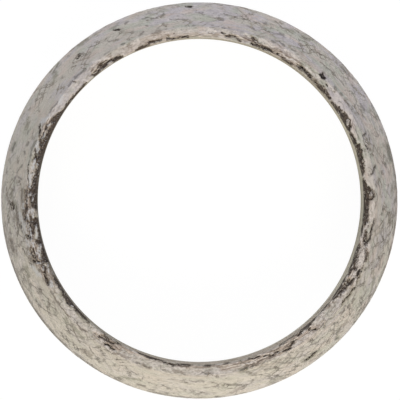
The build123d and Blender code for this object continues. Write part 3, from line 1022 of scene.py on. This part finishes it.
    def lift_at(self, angle: Array, across: Array) -> Array:
        """Reads the relief between the grid's points.

        The four grid points round a place are weighted by its share of the way along
        each axis, as the mesh's own faces do.

        Args:
            angle: angles in radians.
            across: ways across, in millimetres.

        Returns:
            The lift at each place, in millimetres.
        """
        column = np.mod(angle, 2 * np.pi) / (2 * np.pi) * self.columns
        first = np.floor(column).astype(int) % self.columns
        along = column - np.floor(column)
        across = np.mod(across, self.length)
        row = np.searchsorted(self.across, across, side="right") - 1
        edges = np.append(self.across, self.length)
        share = (across - edges[row]) / (edges[row + 1] - edges[row])
        after, above = (first + 1) % self.columns, (row + 1) % len(self.across)
        low = self.lift[first, row] * (1 - along) + self.lift[after, row] * along
        high = self.lift[first, above] * (1 - along) + self.lift[after, above] * along
        return low * (1 - share) + high * share

    def tone_at(self, angle: Array, across: Array, tone: Tone) -> Array:
        """Reads a tone at the grid point nearest to each place.

        Args:
            angle: angles in radians.
            across: ways across, in millimetres.
            tone: the tone.

        Returns:
            Its closeness at each place.
        """
        column = np.rint(np.mod(angle, 2 * np.pi) / (2 * np.pi) * self.columns).astype(int) % self.columns
        row = np.searchsorted(self.across, np.mod(across, self.length), side="right") - 1
        return self.tones[column, row, tone.value]

    def press_wire(self, angle: Array, across: Array, shown: Array) -> None:
        """Notes how close each grid point lies to wire that shows.

        Each point of the wire marks the grid points round its own, with 1 less its
        distance over the wire's reach, and the closest counts.

        Args:
            angle: angles of the wire's points, in radians.
            across: their ways across, in millimetres.
            shown: whether each of them shows.
        """
        angle, across = np.mod(angle[shown], 2 * np.pi), np.mod(across[shown], self.length)
        column = np.rint(angle / (2 * np.pi) * self.columns).astype(int)
        row = np.searchsorted(self.across, across, side="right") - 1
        edges = np.append(self.across, self.length + self.across[:2])
        for aside in (-2, -1, 0, 1, 2):
            for up in (-1, 0, 1, 2):
                at = row + up
                x = (column + aside) / self.columns * 2 * np.pi - angle
                y = edges[np.clip(at, 0, len(edges) - 1)] - across
                near = 1 - np.hypot(x * self.section.nose_radius, y) / self.wire_reach
                marked = (column + aside) % self.columns, at % len(self.across)
                np.maximum.at(self.wire, marked, near)

    def build(self, material: bpy.types.Material) -> bpy.types.Object:
        """Makes the closed skin.

        Each point is the section's point moved along its normal by the lift and turned
        round the axis by its column's angle. A face joins neighbours in both ways.

        Args:
            material: the pressed filler.

        Returns:
            The ring's skin.
        """
        radius = self.radius[None, :] + self.lift * self.out[None, :]
        height = self.height[None, :] + self.lift * self.up[None, :]
        points = around(self.angle[:, None], radius, np.maximum(height, 0.0))
        rows = len(self.across)
        column, row = np.meshgrid(np.arange(self.columns), np.arange(rows), indexing="ij")
        right, above = (column + 1) % self.columns, (row + 1) % rows
        faces = np.stack([column * rows + row, column * rows + above,
                          right * rows + above, right * rows + row], axis=-1)
        values = {"tones": self.tones.reshape(-1, 4), "zones": self.zones().reshape(-1, 4),
                  "smears": self.smears().reshape(-1, 4), "flow": self.flow().reshape(-1, 3),
                  "drag": drawn_out(self.places, 8.0, 28.2).reshape(-1, 3),
                  "marked": (self.by_angle(self.wear.seat_marks) * np.ones(rows)).ravel()}
        return mesh_object("ring_skin", points.reshape(-1, 3), faces.reshape(-1, 4), material, values)


@dataclass
class KnittedWire:
    """Courses of knitted wire, pressed into the skin so that only parts of them show."""

    skin: PressedSkin
    radius: float = 0.12
    pitch: float = 2.6
    loop_height: float = 1.3
    overhang: float = 0.45
    spacing: float = 1.2
    points_per_loop: int = 20
    sides: int = 5
    deepest_shown: float = 0.13
    least_shown: float = 0.3
    flush: float = 0.06
    flatness: float = 0.9

    @property
    def turns(self) -> Array:
        """The angle of each corner of a tube's ring, where a quarter turn is straight out."""
        return 2 * np.pi * np.arange(self.sides) / self.sides + np.pi / 2

    def courses(self, seed: int) -> tuple[Array, Array]:
        """The courses' middle lines over the skin.

        A course runs round the ring. Along its turns t, it goes forward by the pitch
        times t plus the overhang times the sine of 4 pi t, and across by the loop's
        height times the sine of 2 pi t, which makes rounded stitches. Noise then
        shifts it both ways, as the die crushes the knitting.

        Args:
            seed: picks the noise.

        Returns:
            The angle and the way across at each point, a row for each course.
        """
        skin = self.skin
        middle = MIDDLE_RADIUS
        loops = round(2 * np.pi * middle / self.pitch)
        count = round(skin.length / self.spacing)
        turns = np.arange(loops * self.points_per_loop) / self.points_per_loop
        shift = np.random.default_rng(seed).uniform(0, 1, (count, 1))
        phase = 2 * np.pi * (turns[None, :] + shift)
        forward = 2 * np.pi * turns[None, :] / loops + self.overhang / middle * np.sin(2 * phase)
        start = (np.arange(count)[:, None] + shift) * skin.length / count
        across = start + self.loop_height * np.sin(phase)
        radius, height, _, _ = skin.section.at(across)
        places = around(forward, radius, height)
        forward = forward + (1.5 * lattice_noise(places, 5.0, seed + 1)
                             + 0.2 * lattice_noise(places, 2.0, seed + 2)) / middle
        across = across + (1.8 * lattice_noise(places, 5.5, seed + 3)
                           + 0.2 * lattice_noise(places, 2.1, seed + 4))
        return forward, across

    def build(self, seed: int, material: bpy.types.Material) -> list[bpy.types.Object]:
        """Makes the parts of the courses that show.

        The wire's height over the skin is noise less a depth, and no more than flush.
        The depth grows where a stitch crosses the nose, so that what shows there runs
        along the ring. A ring of points stands round each point of the middle line,
        flattened, and narrows where the wire goes under. Rings of no size are left out,
        so a tube's ends stay open, inside the skin.

        Args:
            seed: picks the noise.
            material: the wire's steel.

        Returns:
            The wire outside, on the nose, the seat and the land, and the wire inside.
        """
        skin = self.skin
        angle, across = self.courses(seed)
        radius, height, out, up = skin.section.at(across)
        base = around(angle, radius, height)
        wave = 0.3 * layered_noise(base, 1.9, seed + 5, 2)
        torn = skin.tone_at(angle, across, Tone.TORN)
        nose = np.interp(np.mod(across, skin.length), skin.across, skin.on_nose())
        climb = np.roll(across, -1, axis=1) - across
        gone = (np.roll(angle, -1, axis=1) - angle) * skin.section.nose_radius
        steep = np.clip(np.abs(climb) / np.hypot(climb, gone), 0, 1)
        plain = 1 - np.interp(np.degrees(angle), *np.array(skin.wear.seat_marks).T, period=360)
        sunk = wave - 0.1 - 0.09 * torn - 0.12 * plain - nose * (0.03 + 0.16 * steep)
        sunk = np.minimum(sunk, -self.flush)
        relief = np.clip(skin.lift_at(angle, across), -skin.inset - self.radius, 0.0)
        shown = eased(sunk, -self.deepest_shown - 0.03, -self.deepest_shown + 0.02)
        seen = shown > self.least_shown
        LOG.info("wire shown over %.0f%% of its length", 100 * np.mean(seen))
        skin.press_wire(angle, across, seen)
        size = self.radius * np.sqrt(shown)
        lift = np.minimum(relief + sunk, -self.flatness * size)
        line = around(angle, radius + lift * out, height + lift * up)
        normal = around(angle, out, up)
        ahead = np.roll(line, -1, axis=1) - np.roll(line, 1, axis=1)
        ahead /= np.linalg.norm(ahead, axis=-1, keepdims=True)
        side = np.cross(ahead, normal)
        side /= np.linalg.norm(side, axis=-1, keepdims=True)
        wide = size[..., None] * np.cos(self.turns)
        tall = self.flatness * size[..., None] * np.sin(self.turns)
        ring = (line[..., None, :] + wide[..., None] * side[..., None, :]
                + tall[..., None] * normal[..., None, :])
        land_end = skin.section.zone_ends()[Zone.LAND][1]
        outside = np.arange(len(ring)) < len(ring) * land_end / skin.length
        return [self.keep_shown(name, ring[part], size[part], torn[part], material)
                for name, part in (("knit_seat", outside), ("knit_bore", ~outside))]

    def keep_shown(self, name: str, ring: Array, size: Array, torn: Array,
                   material: bpy.types.Material) -> bpy.types.Object:
        """Joins neighbouring rings into tubes, and drops what doesn't show.

        Args:
            name: the piece's name.
            ring: the points round each point of each course.
            size: the tube's radius there.
            torn: how torn the skin is there.
            material: the wire's steel.

        Returns:
            The tubes as one piece.
        """
        number = np.arange(size.size * self.sides).reshape(*size.shape, self.sides)
        ahead = np.roll(number, -1, axis=1)
        faces = np.stack([ahead, np.roll(ahead, -1, axis=2), np.roll(number, -1, axis=2), number], axis=-1)
        kept = (size > 0) & (np.roll(size, -1, axis=1) > 0)
        used, faces = np.unique(faces[kept], return_inverse=True)
        # Paler where the wire crosses a torn place: bare steel, and partly a painted glint
        shine = np.repeat(torn[..., None], self.sides, axis=-1).ravel()[used]
        # Darker towards the tube's sides and underside: graphite in the crevice, and painted shade
        sides_graphite_and_shade = np.broadcast_to(1 - np.sin(self.turns), number.shape).ravel()[used]
        return mesh_object(name, ring.reshape(-1, 3)[used], faces.reshape(-1, 4), material,
                           {"shine": shine, "sides_graphite_and_shade": sides_graphite_and_shade})


@dataclass(frozen=True)
class Patches:
    """Soft patches: the share rises from 0 to 1 as noise rises from low to high."""

    cell: float
    low: float
    high: float
    shift: float
    detail: float = 2.0

    def add(self, tree: Tree, place: Socket) -> Socket:
        """Adds the patches to a tree.

        Args:
            tree: the material's node tree.
            place: places in millimetres.

        Returns:
            The patches' share at each place.
        """
        shift = (self.shift, -self.shift, 2 * self.shift)
        moved = add_node(tree, "VectorMath", {0: place, 1: shift}, operation="ADD").outputs[0]
        value = add_node(tree, "TexNoise", {"Vector": moved, "Scale": 1 / self.cell, "Detail": self.detail,
                                            "Roughness": 0.55}).outputs["Fac"]
        return add_node(tree, "MapRange", {0: value, 1: self.low, 2: self.high, 3: 0.0, 4: 1.0},
                        interpolation_type="SMOOTHSTEP").outputs[0]


@dataclass(frozen=True)
class Strokes:
    """Thin curved lines where noise crosses its middle, which patches break up."""

    cell: float
    width: float
    shift: float
    broken_up: Patches

    def add(self, tree: Tree, place: Socket) -> Socket:
        """Adds the lines to a tree.

        Args:
            tree: the material's node tree.
            place: places in millimetres.

        Returns:
            The lines' share at each place.
        """
        shift = (-self.shift, self.shift, self.shift)
        moved = add_node(tree, "VectorMath", {0: place, 1: shift}, operation="ADD").outputs[0]
        value = add_node(tree, "TexNoise", {"Vector": moved, "Scale": 1 / self.cell,
                                            "Detail": 1.0}).outputs["Fac"]
        off = add_node(tree, "Math", {0: value, 1: 0.5}, operation="SUBTRACT").outputs[0]
        off = add_node(tree, "Math", {0: off}, operation="ABSOLUTE").outputs[0]
        thin = add_node(tree, "MapRange", {0: off, 1: 0.0, 2: self.width, 3: 1.0, 4: 0.0},
                        interpolation_type="SMOOTHSTEP").outputs[0]
        parts = self.broken_up.add(tree, place)
        return add_node(tree, "Math", {0: thin, 1: parts}, operation="MULTIPLY").outputs[0]


@dataclass(frozen=True)
class Ragged:
    """A mark with a ragged edge: its closeness, moved by noise, is cut off at a level."""

    cell: float
    reach: float
    soft: float
    shift: float
    level: float = 0.5

    def add(self, tree: Tree, place: Socket, closeness: Socket) -> Socket:
        """Adds the mark to a tree.

        Args:
            tree: the material's node tree.
            place: places in millimetres.
            closeness: how close the mark is, from 0 to 1.

        Returns:
            The mark's share at each place.
        """
        shift = (self.shift, self.shift, -self.shift)
        moved = add_node(tree, "VectorMath", {0: place, 1: shift}, operation="ADD").outputs[0]
        value = add_node(tree, "TexNoise", {"Vector": moved, "Scale": 1 / self.cell, "Detail": 3.0,
                                            "Roughness": 0.6}).outputs["Fac"]
        value = add_node(tree, "Math", {0: value, 1: 0.5}, operation="SUBTRACT").outputs[0]
        value = add_node(tree, "Math", {0: value, 1: self.reach, 2: closeness},
                         operation="MULTIPLY_ADD").outputs[0]
        low, high = self.level - self.soft, self.level + self.soft
        return add_node(tree, "MapRange", {0: value, 1: low, 2: high, 3: 0.0, 4: 1.0},
                        interpolation_type="SMOOTHSTEP").outputs[0]


@dataclass(frozen=True)
class PressedFiller:
    """Mica and graphite filler, pressed flush round knitted stainless wire in a die.

    Mica gives the pale, slightly pearly grey and cream, graphite the dark smears in
    each torn place, and the die a satin face with fine dragged lines. The grain's
    height is in metres, and the depths of lines and torn places are shares of it.
    """

    greige: str = "#BAB4AA"
    lilac: str = "#B5AFB4"
    cream: str = "#C2BDB0"
    green: str = "#A9AD9E"
    pink: str = "#C0AFA5"
    stroke: str = "#615C54"
    cut: str = "#4C463E"
    black: str = "#1C130D"
    graphite: str = "#51443A"
    brown: str = "#776A5D"
    fringe: str = "#857A66"
    pale: str = "#D4CDC6"
    cool: str = "#BFC0C1"
    tan: str = "#B8A798"
    umber: str = "#53453A"
    lit: str = "#DFD7CC"
    olive: str = "#6C6B55"
    # Painted shade: the colour of the bore wall where it faces away from the light
    painted_bore_shade: str = "#5A4F40"
    # Paler than the filler: partly the bore's own tone, and partly painted light for the lit right wall
    bore: str = "#E6E2CF"
    # Direction of painted warm light: the colour turns creamier towards -X and -Y
    warm_light_side: tuple[float, float, float] = (-0.008, -0.014, 0.0)
    roughness: float = 0.62
    ior: float = 1.56
    grain_height: float = 0.00008
    line_depth: float = 0.7
    torn_depth: float = 0.8

    def read_skin(self, tree: Tree) -> dict[str, Socket]:
        """Reads what the skin's mesh says of each place.

        Args:
            tree: the material's node tree.

        Returns:
            Name to socket: the place in millimetres, the same place drawn out along the
            ring a little (flow) and far (drag), and the share of each tone, zone and
            smear and of the seat's marks.
        """
        place = add_node(tree, "TexCoord").outputs["Object"]
        place = add_node(tree, "VectorMath", {0: place, 1: (1 / TO_METRES,) * 3},
                         operation="MULTIPLY").outputs[0]
        found = {"place": place}
        for name in ("flow", "drag"):
            found[name] = add_node(tree, "Attribute", attribute_name=name).outputs["Vector"]
        for name, parts in (("tones", ("torn", "cut", "brown", "flake")),
                            ("zones", ("nose", "bore", "wear", "wire")),
                            ("smears", ("olive", "grain", "painted_bore_shade", "cool"))):
            read = add_node(tree, "Attribute", attribute_name=name).outputs
            split = add_node(tree, "SeparateColor", {0: read["Color"]}).outputs
            found.update(zip(parts, (*split, read["Alpha"])))
        found["marked"] = add_node(tree, "Attribute", attribute_name="marked").outputs["Fac"]
        return found

    def add_patterns(self, tree: Tree, skin: dict[str, Socket]) -> dict[str, Socket]:
        """Adds the patterns that lie over the tints.

        Mottles are 0.5 to 1.2 mm across. Dragged lines are 0.15 to 0.2 mm wide, as the
        wire is, and the grain is 0.3 mm, which is as fine as the frame shows. The first
        of two paired patterns shows only as far as the second does.

        Args:
            tree: the material's node tree.
            skin: what the skin's mesh says.

        Returns:
            Name to the pattern's share.
        """
        # Patches take a cell, low, high, shift and detail, and Ragged a cell, reach, soft and shift
        place, along, drag = skin["place"], skin["flow"], skin["drag"]
        grained = Ragged(0.4, 1.0, 0.2, 93.0).add(tree, along, skin["grain"])
        torn = Ragged(0.24, 2.6, 0.14, 61.0).add(tree, along, skin["torn"])
        cuts = Ragged(0.26, 1.6, 0.3, 59.0).add(tree, along, skin["cut"])
        whole = Ragged(0.2, 2.4, 0.2, 67.0).add(tree, along, skin["flake"])
        frays = add_node(tree, "MapRange", {0: skin["wear"], 1: 0.5, 2: 1.0, 3: 0.0, 4: 1.0}).outputs[0]
        speckled = add_node(tree, "MapRange", {0: skin["wear"], 1: 0.1, 2: 0.7, 3: 0.2, 4: 1.0}).outputs[0]
        specks = Patches(0.2, 0.585, 0.69, 97.0).add(tree, place)
        specks = add_node(tree, "Math", {0: specks, 1: speckled}, operation="MULTIPLY").outputs[0]
        drawn = Strokes(2.8, 0.018, 1.0, Patches(3.0, 0.4, 0.52, 8.0))
        drawn_too = Strokes(1.8, 0.024, 40.0, Patches(2.2, 0.42, 0.54, 47.0))
        lit = Strokes(2.1, 0.03, 63.0, Patches(2.0, 0.42, 0.54, 69.0))
        pairs = {
            "drawn": (drawn.add(tree, along), skin["marked"]),
            "drawn_too": (drawn_too.add(tree, along), skin["marked"]),
            "lit": (lit.add(tree, along), skin["marked"]),
            "mottles": (Patches(1.2, 0.5, 0.7, 33.0).add(tree, along), skin["marked"]),
            "freckles": (Patches(0.45, 0.52, 0.7, 37.0).add(tree, along), skin["marked"]),
            "dark_lines": (Patches(0.22, 0.5, 0.6, 101.0).add(tree, drag), grained),
            "lit_lines": (Patches(0.24, 0.54, 0.64, 107.0).add(tree, drag), grained),
            "wear_and_edge_shade": (Patches(0.36, 0.46, 0.6, 71.0, 4.0).add(tree, along), skin["wear"]),
            "streaks": (Patches(0.3, 0.56, 0.66, 77.0, 3.0).add(tree, along), skin["wear"]),
            # Pale patches on the nose: the pressed face's paler tone, and partly a painted highlight where
            # the flat nose faces up
            "nose_pale": (Patches(0.9, 0.42, 0.6, 81.0, 4.0).add(tree, along), skin["nose"]),
            "frayed": (Patches(0.22, 0.52, 0.62, 13.0, 3.0).add(tree, along), frays),
            "specks": (specks, torn),
            "flakes": (whole, Patches(0.26, 0.36, 0.5, 87.0, 3.0).add(tree, along)),
            "pits": (torn, cuts),
        }
        shown = {name: add_node(tree, "Math", {0: first, 1: second}, operation="MULTIPLY").outputs[0]
                 for name, (first, second) in pairs.items()}
        grain = Patches(0.3, 0.3, 0.7, 5.0, 3.0).add(tree, place)
        return shown | {"grain": grain, "grained": grained, "torn": torn, "cuts": cuts, "whole": whole}

    def paint(self, tree: Tree, skin: dict[str, Socket], shown: dict[str, Socket]) -> Socket:
        """Lays the colours over each other, from the tints up to the deepest pits.

        The tints change over 3 to 5 mm. Towards the lower left of the frame, at -X and -Y,
        the colour turns creamier and paler: painted warm light from the key lamp's side.
        Flakes look bluish on the cool side, and a torn place is black or graphite in patches.

        Args:
            tree: the material's node tree.
            skin: what the skin's mesh says.
            shown: the patterns' shares.

        Returns:
            The colour.
        """
        place, along = skin["place"], skin["flow"]
        # Painted warm light: a cream share that grows towards -X and -Y
        warm_light_share = add_node(tree, "VectorMath", {0: place, 1: self.warm_light_side},
                         operation="DOT_PRODUCT").outputs["Value"]
        warm_light_share = add_node(tree, "MapRange", {0: warm_light_share, 1: -0.45, 2: 0.5, 3: 0.0, 4: 1.0}).outputs[0]
        sooty = Patches(0.28, 0.38, 0.62, 91.0, 3.0).add(tree, along)
        pale, dark = (
            add_node(tree, "Mix", {"Factor": share, COLOUR_A: linear_colour(first),
                                   COLOUR_B: linear_colour(second)}, data_type="RGBA").outputs[2]
            for share, first, second in ((skin["cool"], self.pale, self.cool),
                                         (sooty, self.black, self.graphite)))
        # Each layer's share, its strength and its colour, from the lowest up
        layers = (
            (Patches(4.5, 0.42, 0.58, 3.0).add(tree, along), 0.9, self.lilac),
            (Patches(3.4, 0.5, 0.6, 17.0).add(tree, along), 0.7, self.green),
            (Patches(2.8, 0.52, 0.62, 27.0).add(tree, along), 0.65, self.pink),
            # Painted warm light from the key lamp's side
            (warm_light_share, 0.7, self.cream),
            # Pale bore: partly painted light on the bore wall
            (skin["bore"], 0.85, self.bore),
            (shown["mottles"], 0.16, self.stroke),
            (shown["freckles"], 0.22, self.stroke),
            (Patches(0.9, 0.5, 0.7, 43.0).add(tree, along), 0.3, self.pale),
            (Patches(0.36, 0.54, 0.7, 53.0).add(tree, along), 0.22, self.pale),
            (shown["lit"], 0.6, self.pale),
            (shown["drawn"], 0.75, self.stroke),
            (shown["drawn_too"], 0.65, self.stroke),
            # Painted shade: darkens a crevice about 0.3 mm wide beside wire that shows
            (skin["wire"], 0.4, self.stroke),
            # Pale bore again: partly painted light on the bore wall
            (skin["bore"], 0.4, self.bore),
            # Painted shade over the bore, by angle, darkest on the left wall
            (Ragged(1.2, 0.8, 0.5, 111.0).add(tree, place, skin["painted_bore_shade"]), 0.85, self.painted_bore_shade),
            # Paler nose: its own tone, and partly a painted highlight on the up-facing face
            (shown["nose_pale"], 0.5, self.pale),
            # Brown wear patches, with painted shade near the outline
            (shown["wear_and_edge_shade"], 0.8, self.brown),
            (shown["streaks"], 0.7, pale),
            (Ragged(0.6, 3.0, 0.4, 51.0).add(tree, along, skin["olive"]), 0.6, self.olive),
            (Ragged(0.3, 2.6, 0.25, 57.0).add(tree, along, skin["brown"]), 0.6, self.brown),
            (shown["grained"], 0.5, self.tan),
            (Ragged(0.4, 1.2, 0.18, 55.0, 0.3).add(tree, along, skin["torn"]), 0.5, self.fringe),
            (shown["cuts"], 0.56, self.cut),
            (shown["torn"], 0.95, dark),
            (shown["dark_lines"], 0.8, self.umber),
            (shown["lit_lines"], 0.75, self.lit),
            (shown["whole"], 0.3, pale),
            (shown["flakes"], 0.75, pale),
            (shown["frayed"], 0.7, self.graphite),
            (shown["specks"], 0.75, pale),
            (shown["pits"], 0.9, self.black),
        )
        colour = linear_colour(self.greige)
        for share, strength, over in layers:
            over = linear_colour(over) if isinstance(over, str) else over
            factor = add_node(tree, "Math", {0: share, 1: strength}, operation="MULTIPLY").outputs[0]
            colour = add_node(tree, "Mix", {"Factor": factor, COLOUR_A: colour, COLOUR_B: over},
                              data_type="RGBA").outputs[2]
        return colour

    def material(self) -> bpy.types.Material:
        """The filler's material, matt where it is torn and in the bore.

        Returns:
            The material.
        """
        made = bpy.data.materials.new("pressed_mica_and_graphite")
        tree = empty_tree(made)
        skin = self.read_skin(tree)
        shown = self.add_patterns(tree, skin)
        colour = self.paint(tree, skin, shown)
        height = shown["grain"]
        for share, depth in ((shown["drawn"], self.line_depth), (shown["torn"], self.torn_depth)):
            height = add_node(tree, "Math", {0: share, 1: -depth, 2: height},
                              operation="MULTIPLY_ADD").outputs[0]
        bump = add_node(tree, "Bump", {"Height": height, "Strength": 0.8,
                                       "Distance": self.grain_height}).outputs[0]
        rough = add_node(tree, "MapRange", {0: shown["grain"], 1: 0.0, 2: 1.0, 3: self.roughness - 0.1,
                                            4: self.roughness + 0.12}).outputs[0]
        matt = add_node(tree, "Math", {0: shown["torn"], 1: skin["bore"]}, operation="MAXIMUM").outputs[0]
        rough = add_node(tree, "Math", {0: matt, 1: 0.4, 2: rough}, operation="MULTIPLY_ADD",
                         use_clamp=True).outputs[0]
        shader = add_node(tree, "BsdfPrincipled", {"Base Color": colour, "Roughness": rough, "Normal": bump,
                                                   "IOR": self.ior})
        add_node(tree, "OutputMaterial", {"Surface": shader.outputs[0]})
        return made


@dataclass(frozen=True)
class KnitSteel:
    """Drawn stainless wire, knitted and then pressed.

    It is dulled by graphite where it lies in the skin, and bright where it crosses
    a torn place: bare steel there, and partly a painted glint. Each tube's sides are
    darker than its crown: graphite in the crevice, and painted shade.
    """

    dull: str = "#8C857A"
    # Bare steel over torn places, partly a painted glint
    bright: str = "#C8C0B4"
    # Graphite and painted shade on the tube's sides
    soot_and_shade: str = "#443D35"
    roughness: float = 0.42

    def material(self) -> bpy.types.Material:
        """The wire's material, with a shade that changes every 2 mm or so.

        Returns:
            The material.
        """
        made = bpy.data.materials.new("knitted_stainless_wire")
        tree = empty_tree(made)
        place = add_node(tree, "TexCoord").outputs["Object"]
        shade = add_node(tree, "TexNoise", {"Vector": place, "Scale": 500.0, "Detail": 2.0}).outputs["Fac"]
        # Shine over torn places: bare steel, partly a painted glint
        shine = add_node(tree, "Attribute", attribute_name="shine").outputs["Fac"]
        raised = add_node(tree, "MapRange", {0: shade, 1: 0.45, 2: 0.65, 3: 0.0, 4: 0.5}).outputs[0]
        share = add_node(tree, "Math", {0: shine, 1: raised}, operation="MAXIMUM").outputs[0]
        # Painted shade with graphite on the tube's sides
        sides_graphite_and_shade = add_node(tree, "Attribute", attribute_name="sides_graphite_and_shade").outputs["Fac"]
        sides_graphite_and_shade = add_node(tree, "MapRange", {0: sides_graphite_and_shade, 1: 0.1, 2: 0.45, 3: 0.0, 4: 0.85}).outputs[0]
        colour = linear_colour(self.dull)
        for factor, over in ((share, self.bright), (sides_graphite_and_shade, self.soot_and_shade)):
            colour = add_node(tree, "Mix", {"Factor": factor, COLOUR_A: colour,
                                            COLOUR_B: linear_colour(over)}, data_type="RGBA").outputs[2]
        shader = add_node(tree, "BsdfPrincipled", {"Base Color": colour, "Metallic": 0.8,
                                                   "Roughness": self.roughness})
        add_node(tree, "OutputMaterial", {"Surface": shader.outputs[0]})
        return made


@dataclass(frozen=True)
class WhitePaper:
    """The studio's white paper, which carries the ring's faint shadow.

    A camera or a gloss sees mostly plain white, and the paper's own shade for the
    rest, so that the shadow stays and the background is as white as the photograph's.
    """

    colour: str = "#F4F3F0"
    plain: float = 0.93
    brightness: float = 1.03

    def material(self) -> bpy.types.Material:
        """The paper's material.

        Returns:
            The material.
        """
        made = bpy.data.materials.new("white_paper")
        tree = empty_tree(made)
        ray = add_node(tree, "LightPath").outputs
        seen = ray["Is Camera Ray"]
        for kind in ("Is Glossy Ray", "Is Transmission Ray"):
            seen = add_node(tree, "Math", {0: seen, 1: ray[kind]}, operation="MAXIMUM").outputs[0]
        share = add_node(tree, "Math", {0: seen, 1: self.plain}, operation="MULTIPLY").outputs[0]
        paper = add_node(tree, "BsdfDiffuse", {"Color": linear_colour(self.colour)}).outputs[0]
        white = add_node(tree, "Emission", {"Color": (1, 1, 1, 1), "Strength": self.brightness}).outputs[0]
        mixed = add_node(tree, "MixShader", {0: share, 1: paper, 2: white}).outputs[0]
        add_node(tree, "OutputMaterial", {"Surface": mixed})
        return made


@dataclass
class Studio:
    """The floor, the soft lamps, the pale surroundings and the camera."""

    view: TopView
    frame_width: int = 400
    sensor: float = 36.0
    floor_half: float = 1500.0
    floor_drop: float = 0.01
    brightness: float = 0.43

    def build_floor(self) -> bpy.types.Object:
        """Makes the floor, a flat square just under the ring's back face.

        Returns:
            The floor.
        """
        ways = ((-1, -1), (1, -1), (1, 1), (-1, 1))
        corners = np.array([[x * self.floor_half, y * self.floor_half, -self.floor_drop] for x, y in ways])
        floor = mesh_object("studio_floor", corners, np.array([[0, 1, 2, 3]]), WhitePaper().material())
        return floor

    def add_lamp(self, name: str, place: tuple[float, float, float], size: float, power: float,
                 colour: str) -> None:
        """Hangs one soft square lamp that faces the ring.

        Args:
            name: the lamp's name.
            place: where it hangs, in metres.
            size: its side, in metres.
            power: its power in watts.
            colour: its sRGB hex code.
        """
        lamp = bpy.data.lights.new(name, "AREA")
        lamp.size, lamp.energy = size, power
        lamp.color = linear_colour(colour)[:3]
        held = bpy.data.objects.new(name, lamp)
        held.location = place
        held.rotation_euler = (-Vector(place)).to_track_quat("-Z", "Y").to_euler()
        bpy.context.scene.collection.objects.link(held)

    def light(self) -> None:
        """Hangs a warm lamp at the photograph's bottom and a cooler one at its top, in pale air."""
        self.add_lamp("key", place=(0.04, -0.75, 0.5), size=0.5, power=6.3, colour="#FFF6E8")
        self.add_lamp("fill", place=(0.07, 0.75, 0.6), size=0.6, power=4.4, colour="#F2F3FF")
        world = bpy.data.worlds.new("pale_air")
        tree = empty_tree(world)
        ray = add_node(tree, "LightPath").outputs["Is Camera Ray"]
        strength = add_node(tree, "MapRange", {0: ray, 1: 0.0, 2: 1.0, 3: self.brightness, 4: 1.0}).outputs[0]
        air = add_node(tree, "Background", {"Color": (1, 1, 1, 1), "Strength": strength}).outputs[0]
        add_node(tree, "OutputWorld", {"Surface": air})
        bpy.context.scene.world = world

    def place_camera(self) -> None:
        """Sets the camera above the ring, aimed at it, with +Y up the frame."""
        view = self.view
        lens = bpy.data.cameras.new("top_camera")
        lens.sensor_width = self.sensor
        place = Vector(view.camera)
        aim = Vector((*view.aim_offset, view.widest))
        back = (place - aim).normalized()
        depth = place.z - aim.z
        lens.lens = view.reach * (place - aim).length / depth * self.sensor / self.frame_width
        lens.clip_start, lens.clip_end = 0.01, 10.0
        right = Vector((0, 1, 0)).cross(back).normalized()
        turned = Matrix((right, back.cross(right), back)).transposed().to_4x4()
        camera = bpy.data.objects.new("top_camera", lens)
        camera.matrix_world = Matrix.Translation(place * TO_METRES) @ turned
        bpy.context.scene.collection.objects.link(camera)
        bpy.context.scene.camera = camera


def carry(piece: bpy.types.Object) -> None:
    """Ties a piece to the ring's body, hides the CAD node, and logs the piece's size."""
    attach(piece, BODY)
    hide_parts(NODE)
    LOG.info("%s: %d points, %d faces", piece.name, len(piece.data.vertices), len(piece.data.polygons))


def main() -> None:
    """Builds the ring, its wire and the studio in order."""
    logging.basicConfig(level=logging.INFO, format="%(name)s: %(message)s")
    _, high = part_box(NODE)
    section = RingSection(outer_radius=high.x / TO_METRES, height=high.z / TO_METRES)
    view = TopView(section)
    skin = PressedSkin(section, view, Wear())
    for wire in KnittedWire(skin).build(101, KnitSteel().material()):
        carry(wire)
    carry(skin.build(PressedFiller().material()))
    studio = Studio(view)
    studio.build_floor()
    studio.light()
    studio.place_camera()
    bpy.context.scene.view_settings.view_transform = "Standard"


if __name__ == "__main__":
    main()
